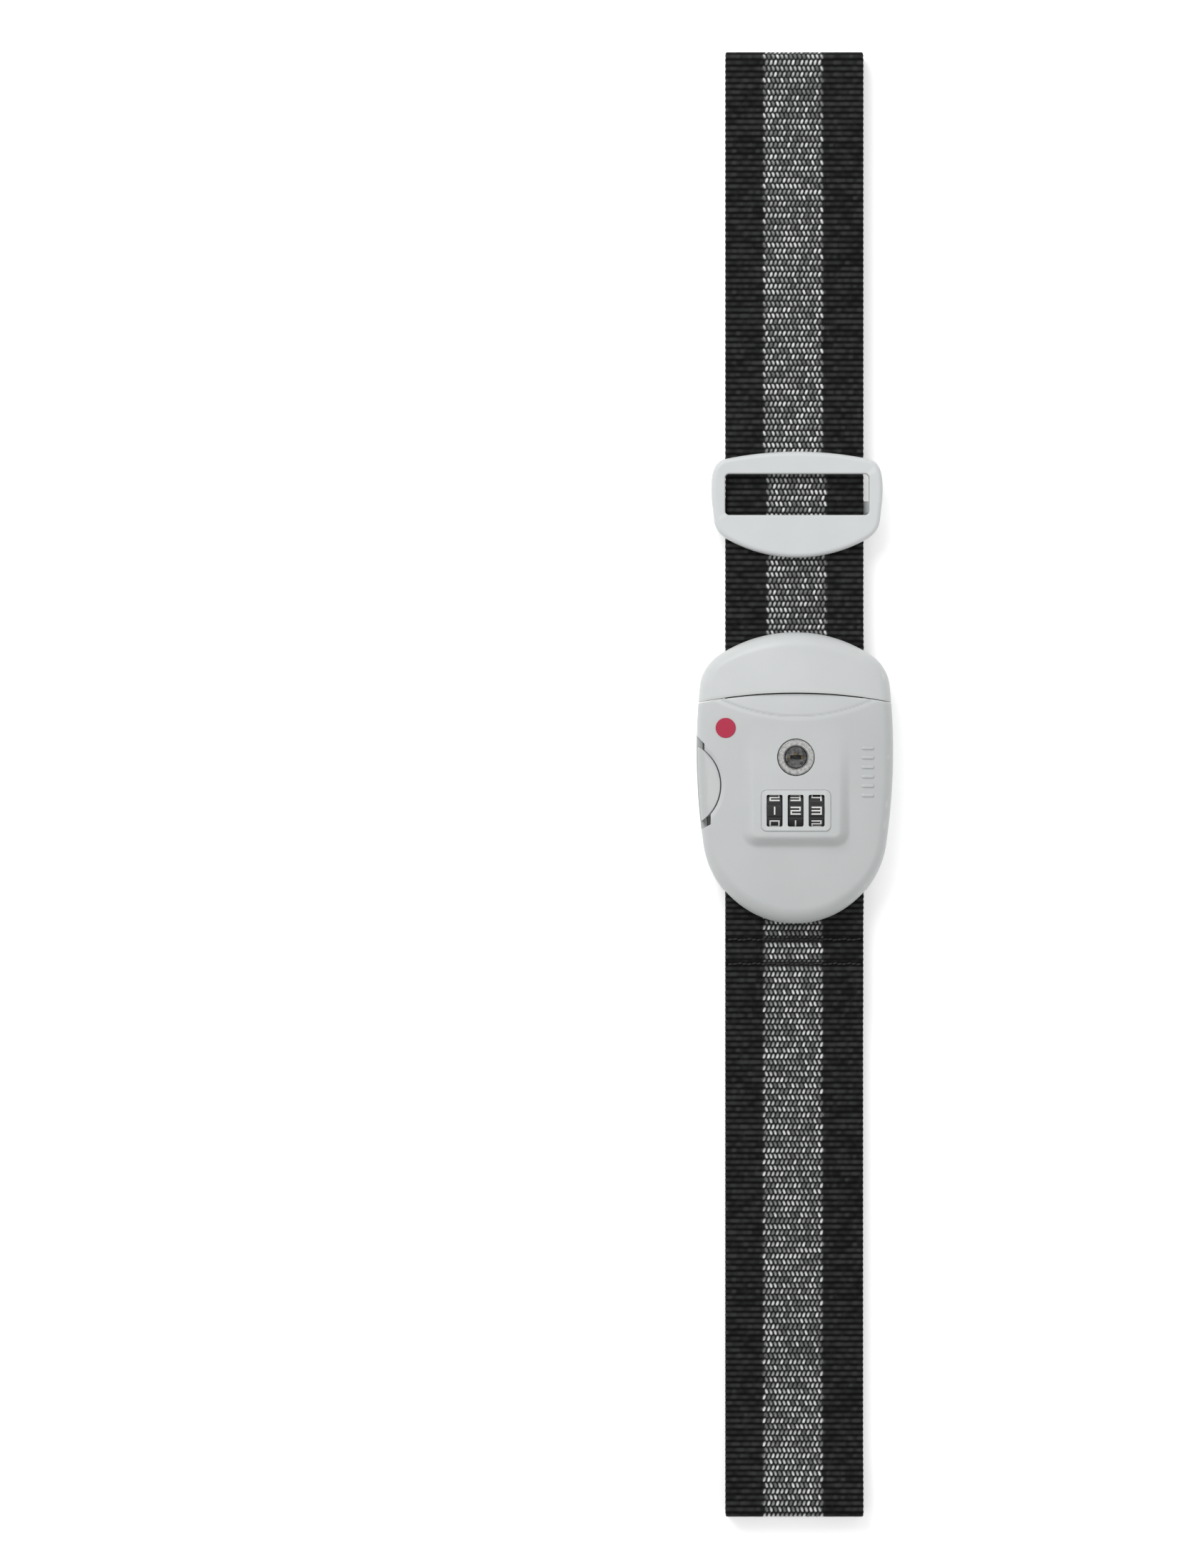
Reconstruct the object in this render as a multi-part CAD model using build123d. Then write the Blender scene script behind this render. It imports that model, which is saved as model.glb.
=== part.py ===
from build123d import *
import math
import os

# A luggage strap lying face up and buckled, folded flat in line with itself.
# X is across the webbing, Y is along it, Z is up; the floor is z = 0 and all sizes are in mm.

# ---- webbing ----
WEB_W = 50.0
WEB_T = 1.4
PLY = 1.6                       # one layer of webbing and the gap above it
Z_BACK = 0.7                    # middle of the layer on the floor
Z_THIRD = Z_BACK + PLY
Z_SECOND = Z_THIRD + PLY
Z_FRONT = Z_SECOND + PLY
END_Y = 265.4                   # half the folded length
END_FOLD_R = 1.6                # middle radius of the two folds at the lower end
FLARE_Y = 28.0                  # length over which the layers spread towards the lower end
INNER_FOLD_Y = 43.0             # the fold hidden under the lock
BACK_SPLIT_Y = 200.0            # where the back layer passes from the lock's side to the tongue's

# ---- strap bars in the lock ----
BAR_R = 2.0
BAR_Z = 8.6
LOWER_BAR_Y = -32.0
UPPER_BAR_Y = 41.0
LOOP_R = BAR_R + 0.1 + WEB_T / 2
LOWER_BAR_HALF = 28.3
UPPER_BAR_HALF = 30.1
BAR_FIT = 0.02
ANCHOR_ROWS = (-56.3, -65.1)
TAIL_END_Y = -72.0
Z_OVER_TAIL = Z_FRONT + 1.65    # the front layer where it lies on the sewn tail

# ---- lock ----
LOCK_BACK = 4.85
LOCK_TOP_Y = 54.8
LOCK_LOW_Y = -50.5
DOME_Z = 22.3
DOME_R = 120.0
EDGE_R = 4.0
LOCK_HALF = 35.45
WIDEST_Y = 12.0
TOP_R = 49.8
LOW_R = 33.3
SHOULDER_R = 15.0
WALL = 2.0
SEAM_R = 180.0
SEAM_Y = 32.7
SEAM_GAP = 0.2
PLATE_TOP = LOCK_BACK + 1.5
WEB_MOUTH_X = 25.8
WEB_MOUTH_Z = 12.4
LOWER_MOUTH_Y = -27.6
UPPER_MOUTH_Y = 37.3
SPAN = 40.0                     # more than half the lock's width, for cuts that go right across
ROOF = 40.0                     # above everything

# ---- raised pad on the lock's front ----
PAD_X = 19.4
PAD_LOW_Y = -22.0
PAD_TOP_Y = 22.0
PAD_Z = 24.0
PAD_TILT = 2.6
PAD_CORNER = 6.0
RIDGE_X = (23.6, 28.4)
RIDGE_TOP_Y = 13.0
RIDGE_PITCH = 3.4
RIDGES = 6
SCOOP_R = 16.3
SCOOP_DEPTH = 2.6
INLAY_X = -25.2
INLAY_Y = 20.2
INLAY_R = 3.6
INLAY_Z = 17.6

# ---- dials ----
DIAL_X = (-7.7, -0.15, 7.4)
DIAL_Y = -9.6
DIAL_Z = 16.7
DIAL_R = 8.0
DIAL_W = 5.3
DIAL_BORE = 4.5
DIGITS = 10
WINDOW_W = 5.7
WINDOW_H = 11.4
BEZEL_W = 25.0
BEZEL_H = 14.8
BEZEL_Z = 22.6
SPINDLE_R = 1.5
SPINDLE_FIT = 0.05
CLUTCH_W = 3.0
FIN_R = 2.4
FIN_T = 0.8

# ---- key cylinder ----
KEY_Y = 9.6
PLUG_R = 4.0
PLUG_FIT = 0.05
HOUSING_R = 6.2
KEY_RING_R = 6.4
KEY_RING_Z = (20.6, 23.7)
CAM_Z = (9.75, 10.8)
CAM_REACH = 6.0
CAM_SQUARE = 1.6                # half the square on the plug's tail
PLUG_LOW = 10.9
PLUG_TOP = 23.1

# ---- tongue and catch ----
TONGUE_X = 20.0
TONGUE_LOW_Y = 0.5
TONGUE_TOP_Y = 37.0
TONGUE_Z = (6.75, 8.55)
CATCH_Z = (8.95, 10.15)
CATCH_Y = (19.0, 23.0)
CATCH_DRAWN_X = 20.4            # tip of the catch's tooth, drawn back
CATCH_THROW = 2.5
CATCH_LEFT_X = -19.7
CATCH_RIGHT_X = 24.8
CATCH_ARM_X = (6.4, 9.2)        # the arm that the key's cam pushes

# ---- release button ----
BUTTON_CX = -43.0
BUTTON_CY = -0.4
NOTCH_R = 16.3
BUTTON_R = 15.95
BUTTON_DROP = 2.7
BUTTON_LOW = 7.7
BUTTON_ARM_X = -31.5
BUTTON_ARM_Z = (10.5, 14.0)

# ---- reset pin ----
RESET_X = 21.0
RESET_R = 1.0

# ---- screws ----
COVER_SCREWS = ((-28.5, 20.0), (28.5, 20.0), (-25.0, -21.0), (25.0, -21.0))
TONGUE_SCREWS = ((-14.0, 34.6), (14.0, 34.6))
SCREW_R = 1.0
SCREW_HEAD_R = 2.0
SCREW_FIT = 0.1
BOSS_R = 2.9
COVER_SCREW_L = 8.0
TONGUE_SCREW_L = 6.0

# ---- slider ----
SLIDER_X = 0.8                  # the slider sits a little to one side of the webbing
SLIDER_Z = (9.0, 12.6)
SLOT_X = 26.0
SLOT_Y = (97.2, 112.1)
SLIDER_BAR_Y = (97.5, 102.5)
SLIDER_BAR_Z = (3.2, 5.7)
Z_RUN = 8.1                     # middle of the layer that runs through the slider
Z_RETURN = 6.5
TAIL_Z = 4.9
SLIDER_ROWS = (84.0, 88.0)
STITCH_T = 0.35


def box(x, y, z):
    """A box from low and high values on each axis."""
    size = Box(x[1] - x[0], y[1] - y[0], z[1] - z[0])
    return Pos((x[0] + x[1]) / 2, (y[0] + y[1]) / 2, (z[0] + z[1]) / 2) * size


def cyl(radius, x, y, z):
    """An upright cylinder from z[0] to z[1]."""
    return Pos(x, y, (z[0] + z[1]) / 2) * Cylinder(radius, z[1] - z[0])


def cross_rod(radius, x, y, z):
    """A cylinder along X from x[0] to x[1]."""
    return Pos((x[0] + x[1]) / 2, y, z) * Rot(0, 90, 0) * Cylinder(radius, x[1] - x[0])


def plate_hole(radius, x, y):
    """An upright cutter through the back plates."""
    return cyl(radius, x, y, (0, LOCK_BACK + 5))


def save(name, shape):
    export_step(shape, f"parts/{name}.step")


# ---------------------------------------------------------------- webbing

def bends(points, radius):
    """The edges of a run of webbing in the YZ plane, with its corners rounded."""
    points = [(0, y, z) for y, z in points]
    if len(points) == 2:
        return [Edge.make_line(points[0], points[1])]
    return list(FilletPolyline(*points, radius=radius).edges())


def turn(y, z_from, z_to, side):
    """A half-circle fold at y, bulging towards side."""
    reach = side * abs(z_to - z_from) / 2
    return Edge.make_three_point_arc((0, y, z_from), (0, y + reach, (z_from + z_to) / 2), (0, y, z_to))


def strip(edges):
    """Webbing laid along the given edges."""
    path = Wire(edges)
    start = Plane(origin=path @ 0, x_dir=(1, 0, 0), z_dir=path % 0)
    return sweep(start * Rectangle(WEB_W, WEB_T), path=path)


FOLD_Y = -END_Y + END_FOLD_R + WEB_T / 2
Z_END = [Z_BACK + 2 * END_FOLD_R * n for n in (0, 1)]
Z_END += [Z_END[1] + PLY, Z_END[1] + PLY + 2 * END_FOLD_R]


def front_lower_run():
    points = [(FOLD_Y, Z_END[3]), (FOLD_Y + 4, Z_END[3]), (FOLD_Y + FLARE_Y, Z_FRONT), (-92, Z_FRONT)]
    points += [(-76, Z_OVER_TAIL), (-54, Z_OVER_TAIL)]
    return strip(bends(points, 14))


def slack_folds():
    """The spare length: down behind the front layer, up to the lock, and back on the floor's side."""
    second = [(FOLD_Y, Z_END[2]), (FOLD_Y + 4, Z_END[2])]
    second += [(FOLD_Y + FLARE_Y, Z_SECOND), (INNER_FOLD_Y, Z_SECOND)]
    third = [(INNER_FOLD_Y, Z_THIRD), (FOLD_Y + FLARE_Y, Z_THIRD)]
    third += [(FOLD_Y + 4, Z_END[1]), (FOLD_Y, Z_END[1])]
    edges = [turn(FOLD_Y, Z_END[3], Z_END[2], -1)] + bends(second, 14)
    edges += [turn(INNER_FOLD_Y, Z_SECOND, Z_THIRD, 1)] + bends(third, 14)
    edges += [turn(FOLD_Y, Z_END[1], Z_BACK, -1)]
    return strip(edges)


def back_run():
    return strip(bends([(FOLD_Y, Z_BACK), (BACK_SPLIT_Y, Z_BACK)], 0))


def anchor_loop():
    z_tail = Z_FRONT + 0.05
    front = [(-54, Z_OVER_TAIL), (-52, Z_OVER_TAIL), (-35, BAR_Z + LOOP_R), (LOWER_BAR_Y, BAR_Z + LOOP_R)]
    tail = [(LOWER_BAR_Y, BAR_Z - LOOP_R), (-40, BAR_Z - LOOP_R), (-52, z_tail), (TAIL_END_Y, z_tail)]
    around = turn(LOWER_BAR_Y, BAR_Z + LOOP_R, BAR_Z - LOOP_R, 1)
    return strip(bends(front, 5) + [around] + bends(tail, 5))


TOP_FOLD_R = (Z_RUN - Z_BACK) / 2
TOP_FOLD_Y = END_Y - TOP_FOLD_R - WEB_T / 2


def top_fold():
    edges = bends([(BACK_SPLIT_Y + 0.3, Z_BACK), (TOP_FOLD_Y, Z_BACK)], 0)
    edges += [turn(TOP_FOLD_Y, Z_BACK, Z_RUN, 1)]
    return strip(edges)


def upper_run():
    return strip(bends([(TOP_FOLD_Y, Z_RUN), (60, Z_RUN)], 0))


def upper_loop():
    front = [(60, Z_RUN), (58, Z_RUN), (44.5, BAR_Z + LOOP_R), (UPPER_BAR_Y, BAR_Z + LOOP_R)]
    around = turn(UPPER_BAR_Y, BAR_Z + LOOP_R, BAR_Z - LOOP_R, -1)
    back = [(UPPER_BAR_Y, BAR_Z - LOOP_R), (45, BAR_Z - LOOP_R)]
    return strip(bends(front, 6) + [around] + bends(back, 0))


def return_run():
    points = [(45, BAR_Z - LOOP_R), (52, BAR_Z - LOOP_R), (66, Z_RETURN), (82, Z_RETURN)]
    return strip(bends(points, 20))


def slider_loop():
    """The end of the webbing, round the slider's rear bar and sewn to itself."""
    bar_mid = (SLIDER_BAR_Z[0] + SLIDER_BAR_Z[1]) / 2
    z_low = 2 * bar_mid - Z_RETURN
    y_turn = SLIDER_BAR_Y[1] - (SLIDER_BAR_Z[1] - SLIDER_BAR_Z[0]) / 2
    upper = bends([(82, Z_RETURN), (y_turn, Z_RETURN)], 0)
    lower = [(y_turn, z_low), (96.5, z_low), (91, TAIL_Z), (80.5, TAIL_Z)]
    return strip(upper + [turn(y_turn, Z_RETURN, z_low, 1)] + bends(lower, 3))


def stitch_rows(rows, z):
    """Rows of separate stitches across the webbing."""
    pitch = 3.3
    length = 2.5
    count = int((WEB_W - 4) / pitch)
    stitches = []
    for y in rows:
        for n in range(count):
            x = (n - (count - 1) / 2) * pitch
            stitches.append(box((x - length / 2, x + length / 2), (y - 0.3, y + 0.3), (z, z + STITCH_T)))
    return Compound(children=stitches)


# ---------------------------------------------------------------- lock: shared shapes

def meet(a, radius_a, b, radius_b):
    """The upper of the two points at distance radius_a from a and radius_b from b."""
    dx, dy = b[0] - a[0], b[1] - a[1]
    apart = math.hypot(dx, dy)
    along = (apart ** 2 + radius_a ** 2 - radius_b ** 2) / (2 * apart)
    off = math.sqrt(radius_a ** 2 - along ** 2)
    points = []
    for side in (1, -1):
        x = a[0] + (along * dx + side * off * dy) / apart
        y = a[1] + (along * dy - side * off * dx) / apart
        points.append((x, y))
    return max(points, key=lambda point: point[1])


def outline_arcs():
    """Centres and radii of the four tangent arcs down the lock's right side."""
    top = (0, LOCK_TOP_Y - TOP_R)
    low = (0, LOCK_LOW_Y + LOW_R)
    rise = WIDEST_Y - low[1]
    side_r = (LOCK_HALF ** 2 + rise ** 2 - LOW_R ** 2) / (2 * (LOCK_HALF - LOW_R))
    side = (LOCK_HALF - side_r, WIDEST_Y)
    shoulder = meet(top, TOP_R - SHOULDER_R, side, side_r - SHOULDER_R)
    return [(top, TOP_R), (shoulder, SHOULDER_R), (side, side_r), (low, LOW_R)]


def bearing(a, b):
    return math.degrees(math.atan2(b[1] - a[1], b[0] - a[0]))


def outline(inset=0.0):
    """The lock's outline seen from the front, symmetric about X = 0, drawn in by inset."""
    arcs = outline_arcs()
    top, shoulder, side, low = [centre for centre, _ in arcs]
    angles = [90.0, bearing(top, shoulder), bearing(side, shoulder), bearing(side, low), -90.0]
    right = None
    for n, (centre, radius) in enumerate(arcs):
        arc = CenterArc(centre, radius - inset, angles[n], angles[n + 1] - angles[n])
        right = arc if right is None else right + arc
    return make_face(right + mirror(right, about=Plane.YZ))


def dome(z_top, radius, half_width=45.0):
    """A long solid whose upper face is curved across the lock."""
    z_side = z_top - (radius - math.sqrt(radius ** 2 - half_width ** 2))
    arc = ThreePointArc((-half_width, z_side), (0, z_top), (half_width, z_side))
    sides = Polyline((half_width, z_side), (half_width, -10), (-half_width, -10), (-half_width, z_side))
    return extrude(Plane.XZ * make_face(arc + sides), 80, both=True)


def body_dome(drop=0.0):
    return dome(DOME_Z - drop, DOME_R - drop)


def pad_dome(lift=0.0):
    """The pad's upper face, which sinks into the body towards the key."""
    tilt = Pos(0, DIAL_Y, PAD_Z) * Rot(-PAD_TILT, 0, 0) * Pos(0, 0, -PAD_Z)
    return tilt * dome(PAD_Z + lift, DOME_R + lift)


def below_seam(gap):
    """Everything on the lock body's side of the seam between body and tongue cap."""
    return cyl(SEAM_R - gap, 0, SEAM_Y - SEAM_R, (-5, 60))


def lock_block():
    """The whole lock as one rounded block, before it is divided."""
    block = extrude(Pos(0, 0, LOCK_BACK) * outline(), 30) & body_dome()
    rim = block.edges().filter_by(lambda e: e.center().Z > 10 and e.geom_type != GeomType.LINE)
    return fillet(rim, EDGE_R)


def inside(inset, z_low, drop):
    return extrude(Pos(0, 0, z_low) * outline(inset), 40) & body_dome(drop)


# ---------------------------------------------------------------- lock body

def raised_pad():
    middle_y = (PAD_LOW_Y + PAD_TOP_Y) / 2
    plan = Pos(0, middle_y, 18) * RectangleRounded(2 * PAD_X, PAD_TOP_Y - PAD_LOW_Y, PAD_CORNER)
    pad = extrude(plan, 12) & pad_dome()
    return fillet(pad.edges().filter_by(lambda e: e.center().Z > 19.5), 1.2)


def grip_ridges():
    """A column of short ridges on the right of the front face."""
    ridges = None
    for n in range(RIDGES):
        y = RIDGE_TOP_Y - RIDGE_PITCH * n
        ridge = box(RIDGE_X, (y - 0.6, y + 0.6), (15, 25))
        ridges = ridge if ridges is None else ridges + ridge
    return ridges & body_dome(-0.35)


def finger_scoop():
    """The hollow below the seam, where a finger gets hold of the tongue."""
    return cross_rod(SCOOP_R, (-SPAN, SPAN), SEAM_Y + 0.3, DOME_Z - SCOOP_DEPTH + SCOOP_R)


def button_notch():
    """The room for the button, with sloping ends that stay clear of its tips as it goes in."""
    base = BUTTON_LOW - 0.35
    upper = Polyline((-38, 20.5), (-32.7, 14.4), (-32.7, 8), (-38, 8), close=True)
    lower = Polyline((-38, -18.9), (-30.5, -14.5), (-30.5, -8), (-38, -8), close=True)
    notch = cyl(NOTCH_R, BUTTON_CX, BUTTON_CY, (base, ROOF))
    for slope in (upper, lower):
        notch = notch + extrude(Pos(0, 0, base) * make_face(slope), ROOF - base)
    return notch


def front_shell(block):
    shell = (block & below_seam(SEAM_GAP)) + raised_pad() + grip_ridges()
    hollow = inside(WALL, LOCK_BACK - 1, WALL)
    mouth_x = (-WEB_MOUTH_X, WEB_MOUTH_X)
    shell = shell - (hollow & below_seam(WALL + 0.6) & box((-SPAN, SPAN), (-26, 60), (0, ROOF)))
    shell = shell - (hollow & box(mouth_x, (-60, LOWER_MOUTH_Y), (0, ROOF)))
    for x, y in COVER_SCREWS:
        post = cyl(BOSS_R, x, y, (PLATE_TOP + 0.05, 26)) & body_dome(1.0)
        shell = shell + (post - cyl(SCREW_R, x, y, (0, 14.5)))
    guide = cyl(2.4, RESET_X, DIAL_Y, (13.5, 26)) & body_dome(1.0)
    shell = shell + (guide - cyl(RESET_R + 0.06, RESET_X, DIAL_Y, (13, 17)))
    shell = shell - box(mouth_x, (-60, LOWER_MOUTH_Y), (0, WEB_MOUTH_Z))
    tongue_gap = TONGUE_X + 0.35
    shell = shell - box((-tongue_gap, tongue_gap), (20, 40), (PLATE_TOP, TONGUE_Z[1] + 0.35))
    shell = shell - button_notch()
    shell = shell - cyl(KEY_RING_R + 0.05, 0, KEY_Y, (18, ROOF))
    shell = shell - cross_rod(BAR_R + BAR_FIT, (-28.4, 28.4), LOWER_BAR_Y, BAR_Z)
    shell = shell - cyl(INLAY_R + 0.05, INLAY_X, INLAY_Y, (17.5, ROOF))
    shell = shell + cyl(INLAY_R + 0.05, INLAY_X, INLAY_Y, (16, INLAY_Z))
    shell = shell - finger_scoop()
    return shell - extrude(Pos(0, DIAL_Y, 15) * RectangleRounded(BEZEL_W + 0.1, BEZEL_H + 0.1, 2), 20)


def back_cover():
    plate = extrude(Pos(0, 0, LOCK_BACK) * outline(WALL + 0.1), PLATE_TOP - LOCK_BACK)
    plate = plate & below_seam(WALL + 0.7) & box((-SPAN, SPAN), (-25.8, 60), (0, ROOF))
    plate = plate + box((-22, -20.4), (2, 28), (PLATE_TOP, TONGUE_Z[1]))
    plate = plate + box((20.4, 22), (2, 17.4), (PLATE_TOP, TONGUE_Z[1]))
    plate = plate + box((-17.5, -16), (-5.2, -0.8), (PLATE_TOP, 14.2))
    for x, y in COVER_SCREWS:
        plate = plate - plate_hole(SCREW_R + SCREW_FIT, x, y)
        plate = plate - cyl(SCREW_HEAD_R + SCREW_FIT, x, y, (0, LOCK_BACK + 0.8))
    return plate - plate_hole(RESET_R + 0.06, RESET_X, DIAL_Y)


def screw(x, y, length):
    head = cyl(SCREW_HEAD_R, x, y, (LOCK_BACK + 0.1, LOCK_BACK + 0.8))
    shank = cyl(SCREW_R, x, y, (LOCK_BACK + 0.8, LOCK_BACK + 0.8 + length))
    cross = box((x - 1.2, x + 1.2), (y - 0.25, y + 0.25), (0, LOCK_BACK + 0.5))
    cross = cross + box((x - 0.25, x + 0.25), (y - 1.2, y + 1.2), (0, LOCK_BACK + 0.5))
    return head + shank - cross


def strap_bar(y, half_length):
    rod = cross_rod(BAR_R, (-half_length, half_length), y, BAR_Z)
    return chamfer(rod.edges(), 0.3)


def cylinder_housing():
    body = cyl(HOUSING_R, 0, KEY_Y, (PLUG_LOW, KEY_RING_Z[0])) + cyl(8.0, 0, KEY_Y, (17.9, 19.6))
    return body - cyl(PLUG_R + PLUG_FIT, 0, KEY_Y, (0, 30))


def key_ring():
    ring = cyl(KEY_RING_R, 0, KEY_Y, KEY_RING_Z) - cyl(PLUG_R + PLUG_FIT, 0, KEY_Y, (0, 30))
    rims = ring.edges().filter_by(lambda e: e.center().Z > KEY_RING_Z[1] - 0.1)
    return chamfer(rims, 0.45)


def dial_frame():
    """The bezel with three windows, and the walls between the dials that carry the spindle."""
    bezel = extrude(Pos(0, DIAL_Y, BEZEL_Z) * RectangleRounded(BEZEL_W, BEZEL_H, 2), 8) & pad_dome(0.45)
    bezel = fillet(bezel.edges().filter_by(lambda e: e.center().Z > 23.5), 0.35)
    for x in DIAL_X:
        bezel = bezel - extrude(Pos(x, DIAL_Y, 15) * RectangleRounded(WINDOW_W, WINDOW_H, 0.6), 20)
    pitch = DIAL_X[1] - DIAL_X[0]
    for n in range(4):
        x = DIAL_X[0] + (n - 0.5) * pitch
        wall = box((x - 0.6, x + 0.6), (DIAL_Y - 6, DIAL_Y + 6), (11.5, BEZEL_Z + 0.1))
        bore = SPINDLE_R + SPINDLE_FIT if n == 3 else FIN_R + 0.4
        bezel = bezel + (wall - cross_rod(bore, (x - 2, x + 2), DIAL_Y, DIAL_Z))
    return bezel


def detent_spring():
    """A leaf with one finger under each dial."""
    thick = 0.35
    leaf = box((-11, 11), (-20.5, -16.5), (PLATE_TOP, PLATE_TOP + thick))
    under = [(-17, PLATE_TOP), (-12, 7.7), (-8.5, 7.95)]
    over = [(-8.5, 8.25), (-12, 8.05), (-17, PLATE_TOP + thick)]
    for x in DIAL_X:
        side = Plane(origin=(x - 1.5, 0, 0), x_dir=(0, 1, 0), z_dir=(1, 0, 0))
        leaf = leaf + extrude(side * make_face(Polyline(*under, *over, close=True)), 3.0)
    return leaf


def status_inlay():
    return cyl(INLAY_R, INLAY_X, INLAY_Y, (INLAY_Z, 30)) & body_dome(-0.12)


def coil(radius, wire, length, turns):
    """A coil spring along +Z from the origin."""
    path = Helix(pitch=length / turns, height=length, radius=radius)
    section = Plane(origin=path @ 0, z_dir=path % 0) * Circle(wire)
    return sweep(section, path=path, is_frenet=True)


def button_spring():
    return Pos(-26.6, -3, 12) * Rot(0, 90, 0) * coil(1.7, 0.25, 8.9, 6)


def reset_spring():
    return Pos(RESET_X, DIAL_Y, 8.5) * coil(1.5, 0.2, 4.8, 5)


# ---------------------------------------------------------------- tongue

def tongue_cap(block):
    cap = block - below_seam(-SEAM_GAP)
    mouth_x = (-WEB_MOUTH_X, WEB_MOUTH_X)
    hollow = inside(WALL, LOCK_BACK - 1, WALL) - below_seam(-SEAM_GAP - 3.0)
    cap = cap - (hollow & box(mouth_x, (UPPER_MOUTH_Y, 60), (0, ROOF)))
    cap = cap - box(mouth_x, (UPPER_MOUTH_Y, 60), (0, WEB_MOUTH_Z))
    seat = extrude(Pos(0, 0, LOCK_BACK - 1) * outline(WALL), 1 + PLATE_TOP - LOCK_BACK)
    cap = cap - (seat & box((-26, 26), (20, UPPER_MOUTH_Y), (0, ROOF)))
    blade_x = TONGUE_X + 0.05
    cap = cap - box((-blade_x, blade_x), (20, UPPER_MOUTH_Y), (PLATE_TOP - 0.1, TONGUE_Z[1]))
    cap = cap - cross_rod(BAR_R + BAR_FIT, (-30.2, 30.2), UPPER_BAR_Y, BAR_Z)
    for x, y in TONGUE_SCREWS:
        cap = cap - cyl(SCREW_R, x, y, (0, 13))
    return cap


def tongue_back():
    plate = extrude(Pos(0, 0, LOCK_BACK) * outline(WALL + 0.1), PLATE_TOP - LOCK_BACK)
    plate = (plate - below_seam(-SEAM_GAP)) & box((-25.9, 25.9), (20, UPPER_MOUTH_Y - 0.1), (0, ROOF))
    for x, y in TONGUE_SCREWS:
        plate = plate - plate_hole(SCREW_R + SCREW_FIT, x, y)
        plate = plate - cyl(SCREW_HEAD_R + SCREW_FIT, x, y, (0, LOCK_BACK + 0.8))
    return plate


def tongue_plate():
    """The blade that enters the lock body, with a notch for the catch's tooth."""
    middle_y = (TONGUE_LOW_Y + TONGUE_TOP_Y) / 2
    plan = Pos(0, middle_y, TONGUE_Z[0]) * Rectangle(2 * TONGUE_X, TONGUE_TOP_Y - TONGUE_LOW_Y)
    plan = chamfer(plan.vertices().group_by(Axis.Y)[0], 4)
    blade = extrude(plan, TONGUE_Z[1] - TONGUE_Z[0])
    depth = TONGUE_X - (CATCH_DRAWN_X - CATCH_THROW) + 0.35
    blade = blade - box((TONGUE_X - depth, TONGUE_X + 1), (CATCH_Y[0] - 0.4, CATCH_Y[1] + 0.4), (0, 20))
    for x, y in TONGUE_SCREWS:
        blade = blade - cyl(SCREW_R + 0.1, x, y, (0, 20))
    return blade


# ---------------------------------------------------------------- catch and release

def catch_plate():
    """Slides across above the tongue; drawn back, with its tooth clear of the notch."""
    bar = box((CATCH_LEFT_X, CATCH_RIGHT_X), CATCH_Y, CATCH_Z)
    tooth = box((CATCH_DRAWN_X, CATCH_RIGHT_X), CATCH_Y, (TONGUE_Z[0], CATCH_Z[0]))
    left_arm = box((CATCH_LEFT_X, CATCH_LEFT_X + 2.0), (3.2, CATCH_Y[1]), CATCH_Z)
    left_lug = box((CATCH_LEFT_X, CATCH_LEFT_X + 1.5), (3.2, 6.8), (CATCH_Z[0], 12.0))
    key_arm = box(CATCH_ARM_X, (7.6, CATCH_Y[1]), CATCH_Z)
    return bar + tooth + left_arm + left_lug + key_arm


def release_button(block):
    """The side button, its arm to the spindle and the stub that pushes the catch."""
    cap = Pos(0, 0, -BUTTON_DROP) * block
    cap = cap & cyl(BUTTON_R, BUTTON_CX, BUTTON_CY, (BUTTON_LOW, ROOF))
    cap = cap & extrude(outline(0.4), ROOF)
    arm = box((BUTTON_ARM_X, -15.6), (DIAL_Y - 2, DIAL_Y + 2), BUTTON_ARM_Z)
    yoke = box((-17.6, -15.6), (DIAL_Y - 2.6, DIAL_Y + 2.6), (BUTTON_ARM_Z[0], 18.4))
    yoke = yoke - cross_rod(SPINDLE_R, (-18, -15), DIAL_Y, DIAL_Z)
    stub = box((BUTTON_ARM_X, -23), (3.4, 6.6), (9.0, 11.8))
    return cap + arm + yoke + stub


def spindle():
    """A shaft with a fin beside each clutch, so it slides only when every gate is in line."""
    shaft = cross_rod(SPINDLE_R, (-17.6, 13.2), DIAL_Y, DIAL_Z)
    for x in DIAL_X:
        left = x - CLUTCH_W / 2 - 0.4 - FIN_T
        shaft = shaft + box((left, left + FIN_T), (DIAL_Y - 0.4, DIAL_Y + 0.4), (DIAL_Z - FIN_R, DIAL_Z))
    return shaft


# ---------------------------------------------------------------- dials

def dial(x):
    ring = cross_rod(DIAL_R, (x - DIAL_W / 2, x + DIAL_W / 2), DIAL_Y, DIAL_Z)
    ring = chamfer(ring.edges().filter_by(GeomType.CIRCLE), 0.25)
    ring = ring - cross_rod(DIAL_BORE, (x - 5, x + 5), DIAL_Y, DIAL_Z)
    for n in range(DIGITS):
        angle = math.radians((n + 0.5) * 360 / DIGITS)
        y = DIAL_Y + (DIAL_R + 0.25) * math.sin(angle)
        z = DIAL_Z + (DIAL_R + 0.25) * math.cos(angle)
        ring = ring - cross_rod(0.55, (x - 5, x + 5), y, z)
    return ring


def clutch(x):
    """The coded disc inside a dial, with gates for the fin at its code and half a turn from it."""
    half = CLUTCH_W / 2
    gate_z = FIN_R + 0.2
    disc = cross_rod(DIAL_BORE - 0.01, (x - half, x + half), DIAL_Y, DIAL_Z)
    disc = disc - cross_rod(SPINDLE_R + SPINDLE_FIT, (x - 5, x + 5), DIAL_Y, DIAL_Z)
    return disc - box((x - 5, x + 5), (DIAL_Y - 0.6, DIAL_Y + 0.6), (DIAL_Z - gate_z, DIAL_Z + gate_z))


# ---------------------------------------------------------------- key cylinder's moving parts

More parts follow.
